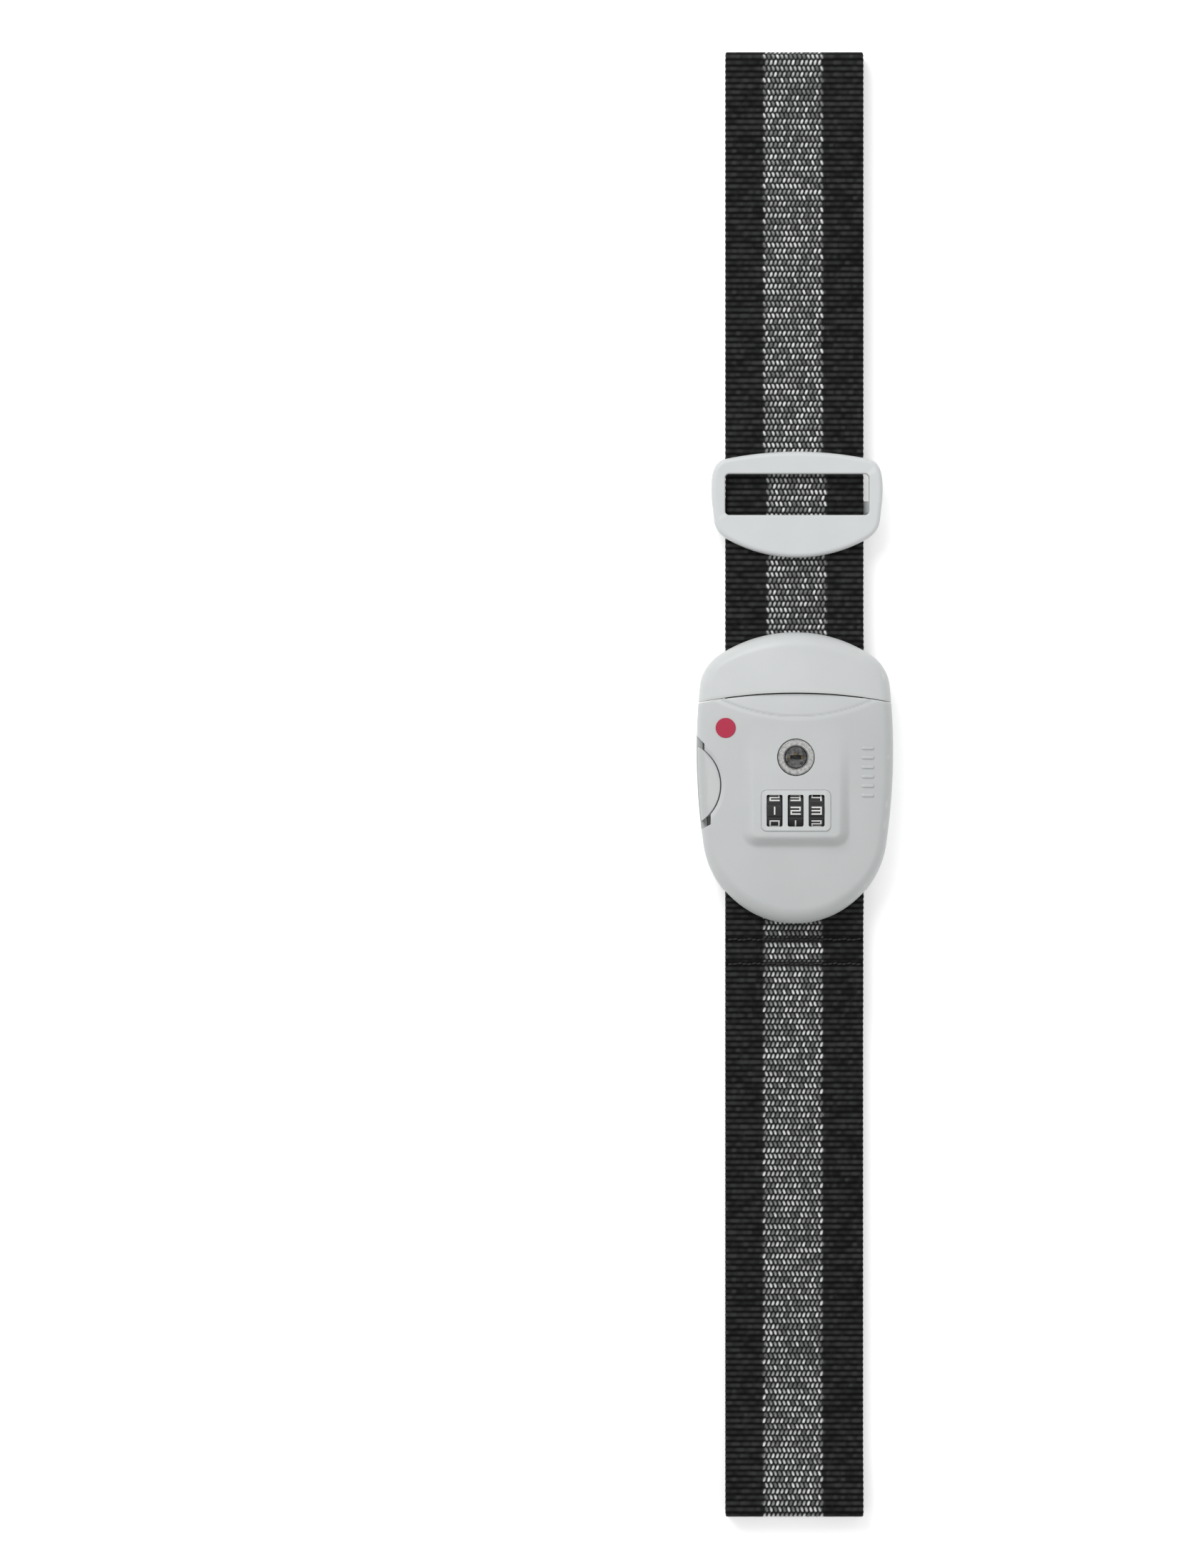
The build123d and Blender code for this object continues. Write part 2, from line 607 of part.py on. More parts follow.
WAFER_Z = (13.2, 15.4, 17.6, 19.8)


def key_plug():
    plug = cyl(PLUG_R, 0, KEY_Y, (PLUG_LOW, PLUG_TOP))
    plug = chamfer(plug.edges().group_by(Axis.Z)[-1], 0.3)
    plug = plug - box((-2.7, 2.7), (KEY_Y - 0.75, KEY_Y + 0.75), (12.2, 30))
    plug = plug - box((-0.8, 0.8), (KEY_Y, KEY_Y + 1.6), (12.2, 30))
    for z in WAFER_Z:
        plug = plug - box((-3.3, 3.3), (KEY_Y - 2.0, KEY_Y + 2.0), (z - 0.4, z + 0.4))
    tail_y = (KEY_Y - CAM_SQUARE, KEY_Y + CAM_SQUARE)
    return plug + box((-CAM_SQUARE, CAM_SQUARE), tail_y, (9.4, PLUG_LOW))


def plug_wafers():
    """Four wafers, each with a window that lets the key pass."""
    wafers = []
    for n, z in enumerate(WAFER_Z):
        shift = 0.25 * (n % 2)
        wafer = box((-3.2, 3.2), (KEY_Y - 1.9, KEY_Y + 1.9), (z - 0.3, z + 0.3))
        wafers.append(wafer - box((-2.2 + shift, 2.2 - shift), (KEY_Y - 0.9, KEY_Y + 0.9), (z - 1, z + 1)))
    return Compound(children=wafers)


def tail_square():
    """The hole that fits the square on the plug's tail."""
    half = CAM_SQUARE + 0.02
    return box((-half, half), (KEY_Y - half, KEY_Y + half), (0, 20))


def plug_cam():
    cam = cyl(3.4, 0, KEY_Y, CAM_Z) + box((-1.4, 1.4), (KEY_Y - CAM_REACH, KEY_Y), CAM_Z)
    return cam - tail_square()


def cam_clip():
    clip = cyl(3.2, 0, KEY_Y, (9.4, 9.7)) - tail_square()
    return clip - box((-1.2, 1.2), (KEY_Y + 1.6, KEY_Y + 6), (0, 20))


def reset_pin():
    pin = cyl(RESET_R, RESET_X, DIAL_Y, (LOCK_BACK + 0.1, 14.4))
    return pin + cyl(2.2, RESET_X, DIAL_Y, (PLATE_TOP + 0.3, PLATE_TOP + 1.2))


# ---------------------------------------------------------------- slider

def slider_outline():
    right = [(25.5, 117.6), (30.9, 109.5), (30.2, 97.0), (24.8, 88.3)]
    top = ThreePointArc((-25.5, 117.6), (0, 120.2), (25.5, 117.6))
    side = Spline(*right, tangents=[(25.5, -5.0), (-25.5, -14.5)])
    low = ThreePointArc((24.8, 88.3), (0, 81.9), (-24.8, 88.3))
    return make_face(top + side + low + mirror(side, about=Plane.YZ))


def slider_frame():
    plate = extrude(Pos(0, 0, SLIDER_Z[0]) * slider_outline(), SLIDER_Z[1] - SLIDER_Z[0])
    plate = fillet(plate.edges().group_by(Axis.Z)[-1], 1.7)
    slot_mid = (SLOT_Y[0] + SLOT_Y[1]) / 2
    slot = extrude(Pos(0, slot_mid, 0) * RectangleRounded(2 * SLOT_X, SLOT_Y[1] - SLOT_Y[0], 1.5), 20)
    plate = plate - slot
    slot_rim = plate.edges().group_by(Axis.Z)[-1]
    plate = fillet(slot_rim, 0.6)
    for side in (-1, 1):
        x = sorted((side * 26.4, side * 29.9))
        plate = plate + box(x, (94.5, 108.5), (SLIDER_BAR_Z[0], SLIDER_Z[0] + 0.5))
    bar = box((-29.9, 29.9), SLIDER_BAR_Y, SLIDER_BAR_Z)
    bar = fillet(bar.edges().filter_by(Axis.X), 1.2)
    return Pos(SLIDER_X, 0, 0) * (plate + bar)


# ---------------------------------------------------------------- build

def main():
    os.makedirs("parts", exist_ok=True)
    block = lock_block()
    save("front_shell", front_shell(block))
    save("back_cover", back_cover())
    save("cover_screws", Compound(children=[screw(x, y, COVER_SCREW_L) for x, y in COVER_SCREWS]))
    save("lower_strap_bar", strap_bar(LOWER_BAR_Y, LOWER_BAR_HALF))
    save("cylinder_housing", cylinder_housing())
    save("key_ring", key_ring())
    save("dial_frame", dial_frame())
    save("detent_spring", detent_spring())
    save("status_inlay", status_inlay())
    save("button_spring", button_spring())
    save("reset_spring", reset_spring())
    save("anchor_stitches", stitch_rows(ANCHOR_ROWS, Z_OVER_TAIL + WEB_T / 2))
    save("webbing_anchor_loop", anchor_loop())
    save("webbing_front_run", front_lower_run())
    save("webbing_slack_folds", slack_folds())
    save("webbing_back_run", back_run())

    save("tongue_cap", tongue_cap(block))
    save("tongue_back", tongue_back())
    save("tongue_plate", tongue_plate())
    save("tongue_screws", Compound(children=[screw(x, y, TONGUE_SCREW_L) for x, y in TONGUE_SCREWS]))
    save("upper_strap_bar", strap_bar(UPPER_BAR_Y, UPPER_BAR_HALF))
    save("webbing_upper_loop", upper_loop())
    save("webbing_upper_run", upper_run())
    save("webbing_top_fold", top_fold())
    save("webbing_return_run", return_run())

    save("slider_frame", slider_frame())
    save("webbing_slider_loop", slider_loop())
    save("slider_stitches", stitch_rows(SLIDER_ROWS, TAIL_Z - WEB_T / 2 - STITCH_T))

    save("catch_plate", catch_plate())
    save("release_button", release_button(block))
    save("spindle", spindle())
    for name, x in zip(("left", "middle", "right"), DIAL_X):
        save(f"dial_{name}", dial(x))
        save(f"clutch_{name}", clutch(x))
    save("key_plug", key_plug())
    save("plug_wafers", plug_wafers())
    save("plug_cam", plug_cam())
    save("cam_clip", cam_clip())
    save("reset_pin", reset_pin())


main()
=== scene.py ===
import math

import bmesh
import bpy
import numpy as np
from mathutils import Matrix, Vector


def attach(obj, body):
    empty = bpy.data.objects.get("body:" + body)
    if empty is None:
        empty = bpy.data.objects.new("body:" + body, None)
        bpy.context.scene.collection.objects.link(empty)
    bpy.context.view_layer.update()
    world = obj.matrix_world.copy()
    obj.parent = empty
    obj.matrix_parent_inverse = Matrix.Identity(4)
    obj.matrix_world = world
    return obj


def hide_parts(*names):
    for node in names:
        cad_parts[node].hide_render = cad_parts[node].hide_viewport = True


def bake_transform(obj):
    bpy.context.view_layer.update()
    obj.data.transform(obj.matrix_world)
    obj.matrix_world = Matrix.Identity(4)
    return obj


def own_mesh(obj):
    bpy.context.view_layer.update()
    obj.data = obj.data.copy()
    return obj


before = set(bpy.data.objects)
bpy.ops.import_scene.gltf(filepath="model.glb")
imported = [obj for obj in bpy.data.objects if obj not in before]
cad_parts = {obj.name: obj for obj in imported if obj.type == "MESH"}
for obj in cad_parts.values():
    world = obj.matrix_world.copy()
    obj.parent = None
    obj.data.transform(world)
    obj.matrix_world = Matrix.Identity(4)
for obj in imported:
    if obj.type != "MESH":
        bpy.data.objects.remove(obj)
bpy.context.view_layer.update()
MM = 0.001

# Sizes and heights of the CAD model, in millimetres.
WEB_HALF = 25.0
LAYER = 1.6
Z_BACK = 0.7
Z_THIRD = Z_BACK + LAYER
Z_SECOND = Z_THIRD + LAYER
Z_FRONT = Z_SECOND + LAYER
Z_TAIL = Z_FRONT + 0.05
Z_OVER_TAIL = Z_FRONT + 1.65
END_Y = 265.4
END_FOLD_R = 1.6
FOLD_Y = -END_Y + END_FOLD_R + 0.7
FLARE_Y = FOLD_Y + 28.0
INNER_FOLD_Y = 43.0
BACK_SPLIT_Y = 200.0
BACK_LAP = 0.2                  # the two pieces of the back layer overlap by this much
Z_END_THIRD = Z_BACK + 2 * END_FOLD_R
Z_END_SECOND = Z_END_THIRD + LAYER
Z_END_FRONT = Z_END_SECOND + 2 * END_FOLD_R
BAR_Z = 8.6
LOOP_R = 2.8
LOWER_BAR_Y = -32.0
UPPER_BAR_Y = 41.0
Z_RUN = 8.1
Z_RETURN = 6.5
TOP_FOLD_R = (Z_RUN - Z_BACK) / 2
TOP_FOLD_Y = END_Y - TOP_FOLD_R - 0.7
Z_LOOP_TURN = 2.4               # underside of the slider's loop
Z_LOOP_TAIL = 4.9               # its sewn tail
SLIDER_BAR_Y = 101.25

# Weave of the webbing.
RIB = 2.13                      # spacing of the rows along the webbing
YARN = 1.6                      # spacing of the floats across the centre band
BAND_HALF = 10.65
BAND_X = -0.55                  # middle of the centre band
BAND_X_LOW = 0.7                # the same between slider and lock
DRIFT_Y = 118.0                 # where it starts to move over, and over what length
DRIFT_RUN = 8.0
BAND_WAVE = 0.4                 # how far its edge swings from row to row
BAND_SOFT = 0.3
CORE = 0.52                     # half thickness under the yarns
RELIEF = 0.05                   # lowest relief above the core
FLOAT_LEAN = 0.34
FLOAT_HALF = 0.39               # half the width of a float, as a share of YARN
FLOAT_RISE = 0.21
RIB_RISE = 0.13
WARP = 0.86                     # spacing of the fine threads that cross the ribs
WARP_RISE = 0.035
PATCH = 5.1                     # length of a lighter or darker patch along a rib
PAINTED_GLINT_SPACING = 1.44                    # spacing of the places where a rib may get a painted glint
EDGE_FLAT = WEB_HALF - 0.6      # where the rounding of the selvedge starts
EDGE_ROUND = 0.62
STEP_FINE = 0.355               # spacing of the mesh along the webbing where it shows
STEP_BACK = 0.53
STEP_HIDDEN = 0.71

# Sewn rows.
ANCHOR_ROWS = (-56.3, -65.1)
SLIDER_ROWS = (84.0, 88.0)
STITCHES = 28
STITCH_PITCH = 1.72
STITCH_HALF = 0.98
THREAD_R = 0.36
THREAD_RISE = 0.66              # from the webbing's middle to the thread's
THREAD_RISE_HIDDEN = 0.72
SEWN_HALF = 0.85                # how far from a row the webbing is pulled in
SEWN_DIP = 0.14
SEWN_SHADE = 0.93

# Dials.
DIAL_X = {"left": -7.7, "middle": -0.15, "right": 7.4}
DIAL_Y = -9.6
DIAL_Z = 16.7
DIAL_R = 8.0
FIRST_DIGIT = {"left": 1, "middle": 2, "right": 3}

# Lock: the same outline, dome and seam as the CAD model.
LOCK_BACK = 4.85
PLATE_TOP = LOCK_BACK + 1.5
TOP_Y = 54.8
LOW_Y = -50.5
TOP_R = 49.8
LOW_R = 33.3
SHOULDER_R = 15.0
LOCK_HALF = 35.45
WIDEST_Y = 12.0
DOME_Z = 22.3
DOME_R = 120.0
EDGE_R = 4.0
RIM_REACH = 20.0
WALL = 2.0
SEAM_R = 180.0
SEAM_Y = 32.7
SEAM_GAP = 0.2
MOUTH_X = 25.8
MOUTH_Z = 12.4
PAD_HALF = 19.8
PAD_LOW_Y = -23.0
PAD_CORNER = 6.0
PAD_SLOPE = 4.6                 # width of its sloping sides
PAD_FADE_Y = (3.0, 21.0)        # where it runs out
CROWN_Y = 10.0                  # where the front is highest along the strap
CROWN_R = 370.0
PAD_RISE = 1.7                  # height of the pad above the body at the dials
PAD_FALL = 0.0454               # how much of that it loses per millimetre towards the key
SCOOP_R = 64.5                  # lower edge of the finger recess
SCOOP_X = 0.3
SCOOP_Y = 88.3
KEY_Y = 9.6
BUTTON_CX = -43.0
BUTTON_CY = -0.4
NOTCH_R = 16.3
NOTCH_Z = 7.35
NOTCH_ENDS = ([(-38, 8), (-32.7, 8), (-32.7, 14.4), (-38, 20.5)],
              [(-38, -18.9), (-30.5, -14.5), (-30.5, -8), (-38, -8)])
RIDGES = 6
RIDGE_X = 26.0
RIDGE_TOP_Y = 13.0
RIDGE_PITCH = 3.4
RIDGE_HALF = 2.4
RIDGE_WIDE = 0.62
RIDGE_HIGH = 0.42

# Openings and bosses in the lock's front and cap.
BOSSES = ((-28.5, 20.0), (28.5, 20.0), (-25.0, -21.0), (25.0, -21.0))
BOSS_R = 2.9
BOSS_SHORT = 2.4                # how far below the dome a boss ends
SCREW_R = 1.0
SCREW_Z = 14.5
MOUTH_END_Y = -27.6
BLADE_HALF = 20.35
BLADE_Z = 8.9
KEY_HOLE_R = 6.75
KEY_HOLE_Z = 18.0
WINDOW = (25.1, 14.9)
WINDOW_CORNER = 2.0
WINDOW_Z = 15.0
CAP_INNER_Y = 37.3
CAP_PLATE_HALF = 26.0
CAP_BLADE_HALF = 20.05
CAP_BLADE_Z = 8.55
SEAM_RIB = 0.8                  # extra thickness of the body's wall at the seam
CAP_RIB = 4.6                   # thickness of the cap's wall there
PAST = 60.0                     # beyond either end of the lock
ABOVE = 40.0                    # higher than anything here
STEP_BODY = 0.48                # spacing of the mesh on the body and the cap
STEP_CAP = 0.42
STEP_BODY_INSIDE = 1.6
STEP_CAP_INSIDE = 1.4

# Camera: it looks straight down from a place left of the strap.
CAMERA_X = -70.62
VIEW_HEIGHT = 567.7             # length along Y that it sees, at the height FOCUS_Z
FOCUS_Z = 8.0
FOCAL = 135.0
SENSOR = 36.0

# Light and floor, in metres and watts.
WORLD = 0.64
HORIZON = (0.30, 0.30, 0.31)
SKY = (1.0, 1.0, 1.0)
KEY_PLACE = (-0.75, 1.15, 1.35)
KEY_SIZE = (1.1, 1.1)
KEY_POWER = 20.0
FILL_PLACE = (0.9, -0.7, 1.9)
FILL_SIZE = (1.2, 1.2)
FILL_POWER = 3.5
FLOOR_GLOW = 0.35
FLOOR_DROP = 0.0002             # keeps the floor out of the lowest faces


# ---------------------------------------------------------------- camera, floor and light

def make_camera():
    data = bpy.data.cameras.new("camera")
    data.sensor_fit = "VERTICAL"
    data.sensor_height = SENSOR
    data.lens = FOCAL
    data.clip_start = 0.05
    data.clip_end = 30.0
    camera = bpy.data.objects.new("camera", data)
    bpy.context.scene.collection.objects.link(camera)
    distance = VIEW_HEIGHT * FOCAL / SENSOR
    camera.location = Vector((CAMERA_X, 0.0, FOCUS_Z + distance)) * MM
    bpy.context.scene.camera = camera


def area_light(name, place, size, power):
    """A rectangular lamp that looks at the origin."""
    data = bpy.data.lights.new(name, "AREA")
    data.shape = "RECTANGLE"
    data.size, data.size_y = size
    data.energy = power
    light = bpy.data.objects.new(name, data)
    bpy.context.scene.collection.objects.link(light)
    light.location = place
    light.rotation_euler = (-Vector(place)).to_track_quat("-Z", "Y").to_euler()


def make_light():
    world = bpy.data.worlds.new("studio")
    world.use_nodes = True
    nodes, links = world.node_tree.nodes, world.node_tree.links
    place = nodes.new("ShaderNodeTexCoord")
    axes = nodes.new("ShaderNodeSeparateXYZ")
    links.new(place.outputs["Generated"], axes.inputs["Vector"])
    walls = ramp(nodes, links, axes.outputs["Z"], [(0.05, HORIZON), (0.55, SKY)])
    links.new(walls, nodes["Background"].inputs["Color"])
    nodes["Background"].inputs["Strength"].default_value = WORLD
    bpy.context.scene.world = world
    area_light("key", KEY_PLACE, KEY_SIZE, KEY_POWER)
    area_light("fill", FILL_PLACE, FILL_SIZE, FILL_POWER)
    bpy.context.scene.view_settings.view_transform = "Standard"


def new_mesh(name, verts, faces, smooth=True):
    """A mesh object from points in millimetres."""
    mesh = bpy.data.meshes.new(name)
    mesh.from_pydata([tuple(v) for v in np.asarray(verts) * MM], [], [tuple(f) for f in faces])
    if smooth:
        mesh.polygons.foreach_set("use_smooth", [True] * len(mesh.polygons))
    mesh.validate()
    mesh.update()
    obj = bpy.data.objects.new(name, mesh)
    bpy.context.scene.collection.objects.link(obj)
    return obj


def tube_faces(rings, sides):
    """Faces of a closed tube, given its points ring by ring, with a flat face at each end."""
    start = np.arange(rings - 1)[:, None] * sides
    here = np.arange(sides)[None, :]
    after = (here + 1) % sides
    corners = [start + here, start + after, start + sides + after, start + sides + here]
    faces = [tuple(quad) for quad in np.stack(corners, axis=-1).reshape(-1, 4).tolist()]
    faces.append(tuple(range(sides))[::-1])
    faces.append(tuple(range((rings - 1) * sides, rings * sides)))
    return faces


def make_floor():
    half_size = 3000.0
    line = 9
    grid = np.linspace(-half_size, half_size, line)
    verts = [(x, y, 0.0) for y in grid for x in grid]
    corners = [j * line + i for j in range(line - 1) for i in range(line - 1)]
    faces = [(a, a + 1, a + 1 + line, a + line) for a in corners]
    floor = new_mesh("floor", verts, faces, smooth=False)
    floor.location.z = -FLOOR_DROP
    mat, _, _, shader = material("pale_floor")
    shader.inputs["Base Color"].default_value = (0.97, 0.97, 0.97, 1)
    shader.inputs["Roughness"].default_value = 0.9
    shader.inputs["Emission Color"].default_value = (1, 1, 1, 1)
    shader.inputs["Emission Strength"].default_value = FLOOR_GLOW
    floor.data.materials.append(mat)


# ---------------------------------------------------------------- materials

def material(name):
    mat = bpy.data.materials.new(name)
    mat.use_nodes = True
    nodes = mat.node_tree.nodes
    return mat, nodes, mat.node_tree.links, nodes["Principled BSDF"]


def noise(nodes, links, scale, detail=3.0, rough=0.55):
    """A noise texture in object space; scale is features per metre."""
    place = nodes.new("ShaderNodeTexCoord")
    node = nodes.new("ShaderNodeTexNoise")
    node.inputs["Scale"].default_value = scale
    node.inputs["Detail"].default_value = detail
    node.inputs["Roughness"].default_value = rough
    links.new(place.outputs["Object"], node.inputs["Vector"])
    return node.outputs["Fac"]


def ramp(nodes, links, value, stops):
    node = nodes.new("ShaderNodeValToRGB")
    links.new(value, node.inputs["Fac"])
    for n, (place, colour) in enumerate(stops):
        stop = node.color_ramp.elements[n] if n < 2 else node.color_ramp.elements.new(place)
        stop.position = place
        stop.color = (*colour, 1.0)
    return node.outputs["Color"]


def mix(nodes, links, factor, a, b, blend="MIX"):
    node = nodes.new("ShaderNodeMix")
    node.data_type = "RGBA"
    node.blend_type = blend
    for name, value in (("Factor", factor), ("A", a), ("B", b)):
        socket = node.inputs[name]
        if isinstance(value, (int, float)):
            socket.default_value = value
        elif isinstance(value, tuple):
            socket.default_value = (*value, 1.0)
        else:
            links.new(value, socket)
    return node.outputs["Result"]


def bump(nodes, links, shader, height, distance, strength=1.0, soften=0.0):
    """Relief from a height; soften rounds hard edges in the shading by that radius in metres."""
    node = nodes.new("ShaderNodeBump")
    node.inputs["Distance"].default_value = distance
    node.inputs["Strength"].default_value = strength
    links.new(height, node.inputs["Height"])
    if soften:
        edge = nodes.new("ShaderNodeBevel")
        edge.samples = 4
        edge.inputs["Radius"].default_value = soften
        links.new(edge.outputs["Normal"], node.inputs["Normal"])
    links.new(node.outputs["Normal"], shader.inputs["Normal"])


def to_range(nodes, links, value, low, high):
    node = nodes.new("ShaderNodeMapRange")
    node.inputs["To Min"].default_value = low
    node.inputs["To Max"].default_value = high
    links.new(value, node.inputs["Value"])
    return node.outputs["Result"]


def scaled(colour, factor):
    return tuple(min(1.0, c * factor) for c in colour)


def grey(value):
    return (value, value, value)


# Colours of the black and the silver yarn, each running from painted shade in the gaps to painted
# highlights on the brightest threads.
BLACK_YARN = [(0.0, (0.0015, 0.0015, 0.0016)),
              (0.35, (0.006, 0.0062, 0.0063)),
              (1.0, (0.042, 0.043, 0.043))]
SILVER_YARN = [(0.0, (0.004, 0.0041, 0.0042)),
               (0.3, (0.04, 0.041, 0.041)),
               (0.62, (0.205, 0.211, 0.21)),
               (1.0, (0.9, 0.91, 0.905))]


def moulded_plastic(name, colour, rough=0.42, grain=2600.0, grain_depth=0.00002, wear=0.06,
                    soften=0.00025):
    """Satin moulded plastic: fine grain, faint flow marks, edges rubbed a little lighter."""
    mat, nodes, links, shader = material(name)
    flow = noise(nodes, links, 38.0, 4.0)
    base = ramp(nodes, links, flow, [(0.3, scaled(colour, 0.965)), (0.7, scaled(colour, 1.025))])
    geometry = nodes.new("ShaderNodeNewGeometry")
    edge = ramp(nodes, links, geometry.outputs["Pointiness"], [(0.5, grey(0.0)), (0.58, grey(wear))])
    base = mix(nodes, links, 1.0, base, edge, "ADD")
    links.new(base, shader.inputs["Base Color"])
    fine = noise(nodes, links, grain, 2.0)
    smear = noise(nodes, links, 90.0, 3.0)
    links.new(to_range(nodes, links, smear, rough - 0.06, rough + 0.08), shader.inputs["Roughness"])
    bump(nodes, links, shader, fine, grain_depth, 0.5, soften)
    shader.inputs["Specular IOR Level"].default_value = 0.4
    return mat


def metal(name, colour, rough=0.25, scratch=900.0, blotch=300.0, darkest=0.82):
    """Plated or turned metal with fine scratches and uneven polish."""
    mat, nodes, links, shader = material(name)
    scratches = noise(nodes, links, scratch, 4.0, 0.5)
    tarnish = noise(nodes, links, blotch, 3.0)
    base = ramp(nodes, links, tarnish, [(0.25, scaled(colour, darkest)), (0.75, scaled(colour, 1.05))])
    links.new(base, shader.inputs["Base Color"])
    links.new(to_range(nodes, links, scratches, rough - 0.1, rough + 0.16), shader.inputs["Roughness"])
    bump(nodes, links, shader, scratches, 0.00001, 0.4)
    shader.inputs["Metallic"].default_value = 1.0
    return mat


def webbing_material():
    """Polyester webbing: black ribbed sides and a centre band of grey reflective yarn."""
    mat, nodes, links, shader = material("woven_webbing")
    weave = nodes.new("ShaderNodeAttribute")
    weave.attribute_name = "weave"
    parts = nodes.new("ShaderNodeSeparateColor")
    links.new(weave.outputs["Color"], parts.inputs["Color"])
    # red holds the painted light of the weave, green the painted shade of its low relief, blue the centre
    # band's share
    painted_light, yarn, band = parts.outputs["Red"], parts.outputs["Green"], parts.outputs["Blue"]
    black = ramp(nodes, links, painted_light, BLACK_YARN)
    silver = ramp(nodes, links, painted_light, SILVER_YARN)
    fibres = noise(nodes, links, 5200.0, 3.0, 0.7)
    lint = noise(nodes, links, 420.0, 4.0)
    fibre_shade = ramp(nodes, links, fibres, [(0.2, grey(0.72)), (0.8, grey(1.0))])
    # painted shade: the webbing darker where its relief is low
    painted_relief_shade = ramp(nodes, links, yarn, [(0.0, grey(0.62)), (1.0, grey(1.0))])
    lint_light = ramp(nodes, links, lint, [(0.5, grey(0.0)), (0.9, grey(0.012))])
    base = mix(nodes, links, band, black, silver)
    base = mix(nodes, links, 1.0, base, fibre_shade, "MULTIPLY")
    base = mix(nodes, links, 1.0, base, painted_relief_shade, "MULTIPLY")
    base = mix(nodes, links, 1.0, base, lint_light, "ADD")
    links.new(base, shader.inputs["Base Color"])
    links.new(to_range(nodes, links, band, 0.85, 0.5), shader.inputs["Roughness"])
    bump(nodes, links, shader, fibres, 0.00006, 0.6)
    shader.inputs["Sheen Weight"].default_value = 0.02
    shader.inputs["Sheen Roughness"].default_value = 0.5
    shader.inputs["Specular IOR Level"].default_value = 0.12
    return mat


def thread_material():
    """Twisted sewing thread."""
    mat, nodes, links, shader = material("sewing_thread")
    twist = nodes.new("ShaderNodeTexWave")
    twist.inputs["Scale"].default_value = 900.0
    twist.inputs["Distortion"].default_value = 1.5
    twist.bands_direction = "DIAGONAL"
    place = nodes.new("ShaderNodeTexCoord")
    links.new(place.outputs["Object"], twist.inputs["Vector"])
    base = ramp(nodes, links, twist.outputs["Fac"], [(0.0, grey(0.004)), (1.0, (0.02, 0.02, 0.021))])
    links.new(base, shader.inputs["Base Color"])
    shader.inputs["Roughness"].default_value = 0.6
    bump(nodes, links, shader, twist.outputs["Fac"], 0.00005, 0.8)
    return mat


# ---------------------------------------------------------------- webbing

def glide(y0, z0, y1, z1, step=1.0):
    """A gentle S from one height to another."""
    count = max(2, int(abs(y1 - y0) / step))
    t = np.linspace(0, 1, count)
    return np.column_stack([y0 + (y1 - y0) * t, z0 + (z1 - z0) * t * t * (3 - 2 * t)])


def half_turn(y, z_from, z_to, side):
    """A half-circle fold."""
    mid = (z_from + z_to) / 2
    radius = (z_from - z_to) / 2
    t = np.linspace(0, math.pi, 24)
    return np.column_stack([y + side * abs(radius) * np.sin(t), mid + radius * np.cos(t)])


def resample(points, spacing):
    """Evenly spaced points along a route, and how far along it each one is."""
    points = np.asarray(points, float)
    keep = np.concatenate([[True], np.linalg.norm(np.diff(points, axis=0), axis=1) > 1e-6])
    points = points[keep]
    run = np.concatenate([[0], np.cumsum(np.linalg.norm(np.diff(points, axis=0), axis=1))])
    count = max(2, int(round(run[-1] / spacing)) + 1)
    at = np.linspace(0, run[-1], count)
    return np.column_stack([np.interp(at, run, points[:, 0]), np.interp(at, run, points[:, 1])]), at


def smooth(low, high, value):
    t = np.clip((value - low) / (high - low), 0, 1)
    return t * t * (3 - 2 * t)


def cell_noise(a, b, seed):
    """A repeatable value from 0 to 1 for each pair of whole numbers."""
    value = np.sin(a * 127.1 + b * 311.7 + seed * 74.7) * 43758.5453
    return value - np.floor(value)


def float_weave(row, t, across):
    """Height and painted light of the centre band's floats, which lean the other way in each next row: a
    painted highlight on each float, and painted shade in the gaps.
    """
    shifted = across / YARN + 0.5 * (row % 2)
    column = np.floor(shifted)
    lean = FLOAT_LEAN * np.where(row % 2 == 0, 1.0, -1.0)
    w = shifted - column - 0.5 + lean * t
    life = cell_noise(row, column, 1.0)
    bead = np.clip(1 - (w / FLOAT_HALF) ** 2 - np.abs(t / 0.5) ** 3, 0, 1)
    height = RELIEF + FLOAT_RISE * np.sqrt(bead)
    # painted highlight on the crest of each float; the gaps between floats get none, which the colour
    # ramps turn into painted shade
    painted_light = np.where(bead > 0, 0.2 + (0.36 + 0.5 * life) * np.sqrt(bead), 0.0)
    # painted highlight stronger towards one end of each float, as if lit from that side
    return height, painted_light * (0.86 + 0.28 * (t + 0.5))


def rib_weave(row, t, u):
    """Height and painted light of the ribs of the black sides: a painted highlight along each crest, with
    painted glints.
    """
    rib = 1 - np.abs(2 * t) ** 3.2
    warp = 0.5 + 0.5 * np.cos(2 * math.pi * (u / WARP + 0.5 * (row % 2)))
    along_row = u / PATCH + cell_noise(row, 0.0, 3.0)
    cell = np.floor(along_row)
    blend = smooth(0, 1, along_row - cell)
    life = (1 - blend) * cell_noise(row, cell, 2.0) + blend * cell_noise(row, cell + 1, 2.0)
    # painted glints: sparse bright specks on the rib crests
    painted_glint = cell_noise(row, np.floor(u / PAINTED_GLINT_SPACING), 4.0) ** 8
    height = RELIEF + RIB_RISE * rib + WARP_RISE * warp * rib
    # painted highlight along the crest of each rib, stronger or weaker in random patches
    painted_light = 0.03 + 0.85 * rib ** 2 * (0.72 + 0.28 * warp) * (0.6 + 0.6 * life)
    return height, painted_light + 0.7 * painted_glint * rib ** 4


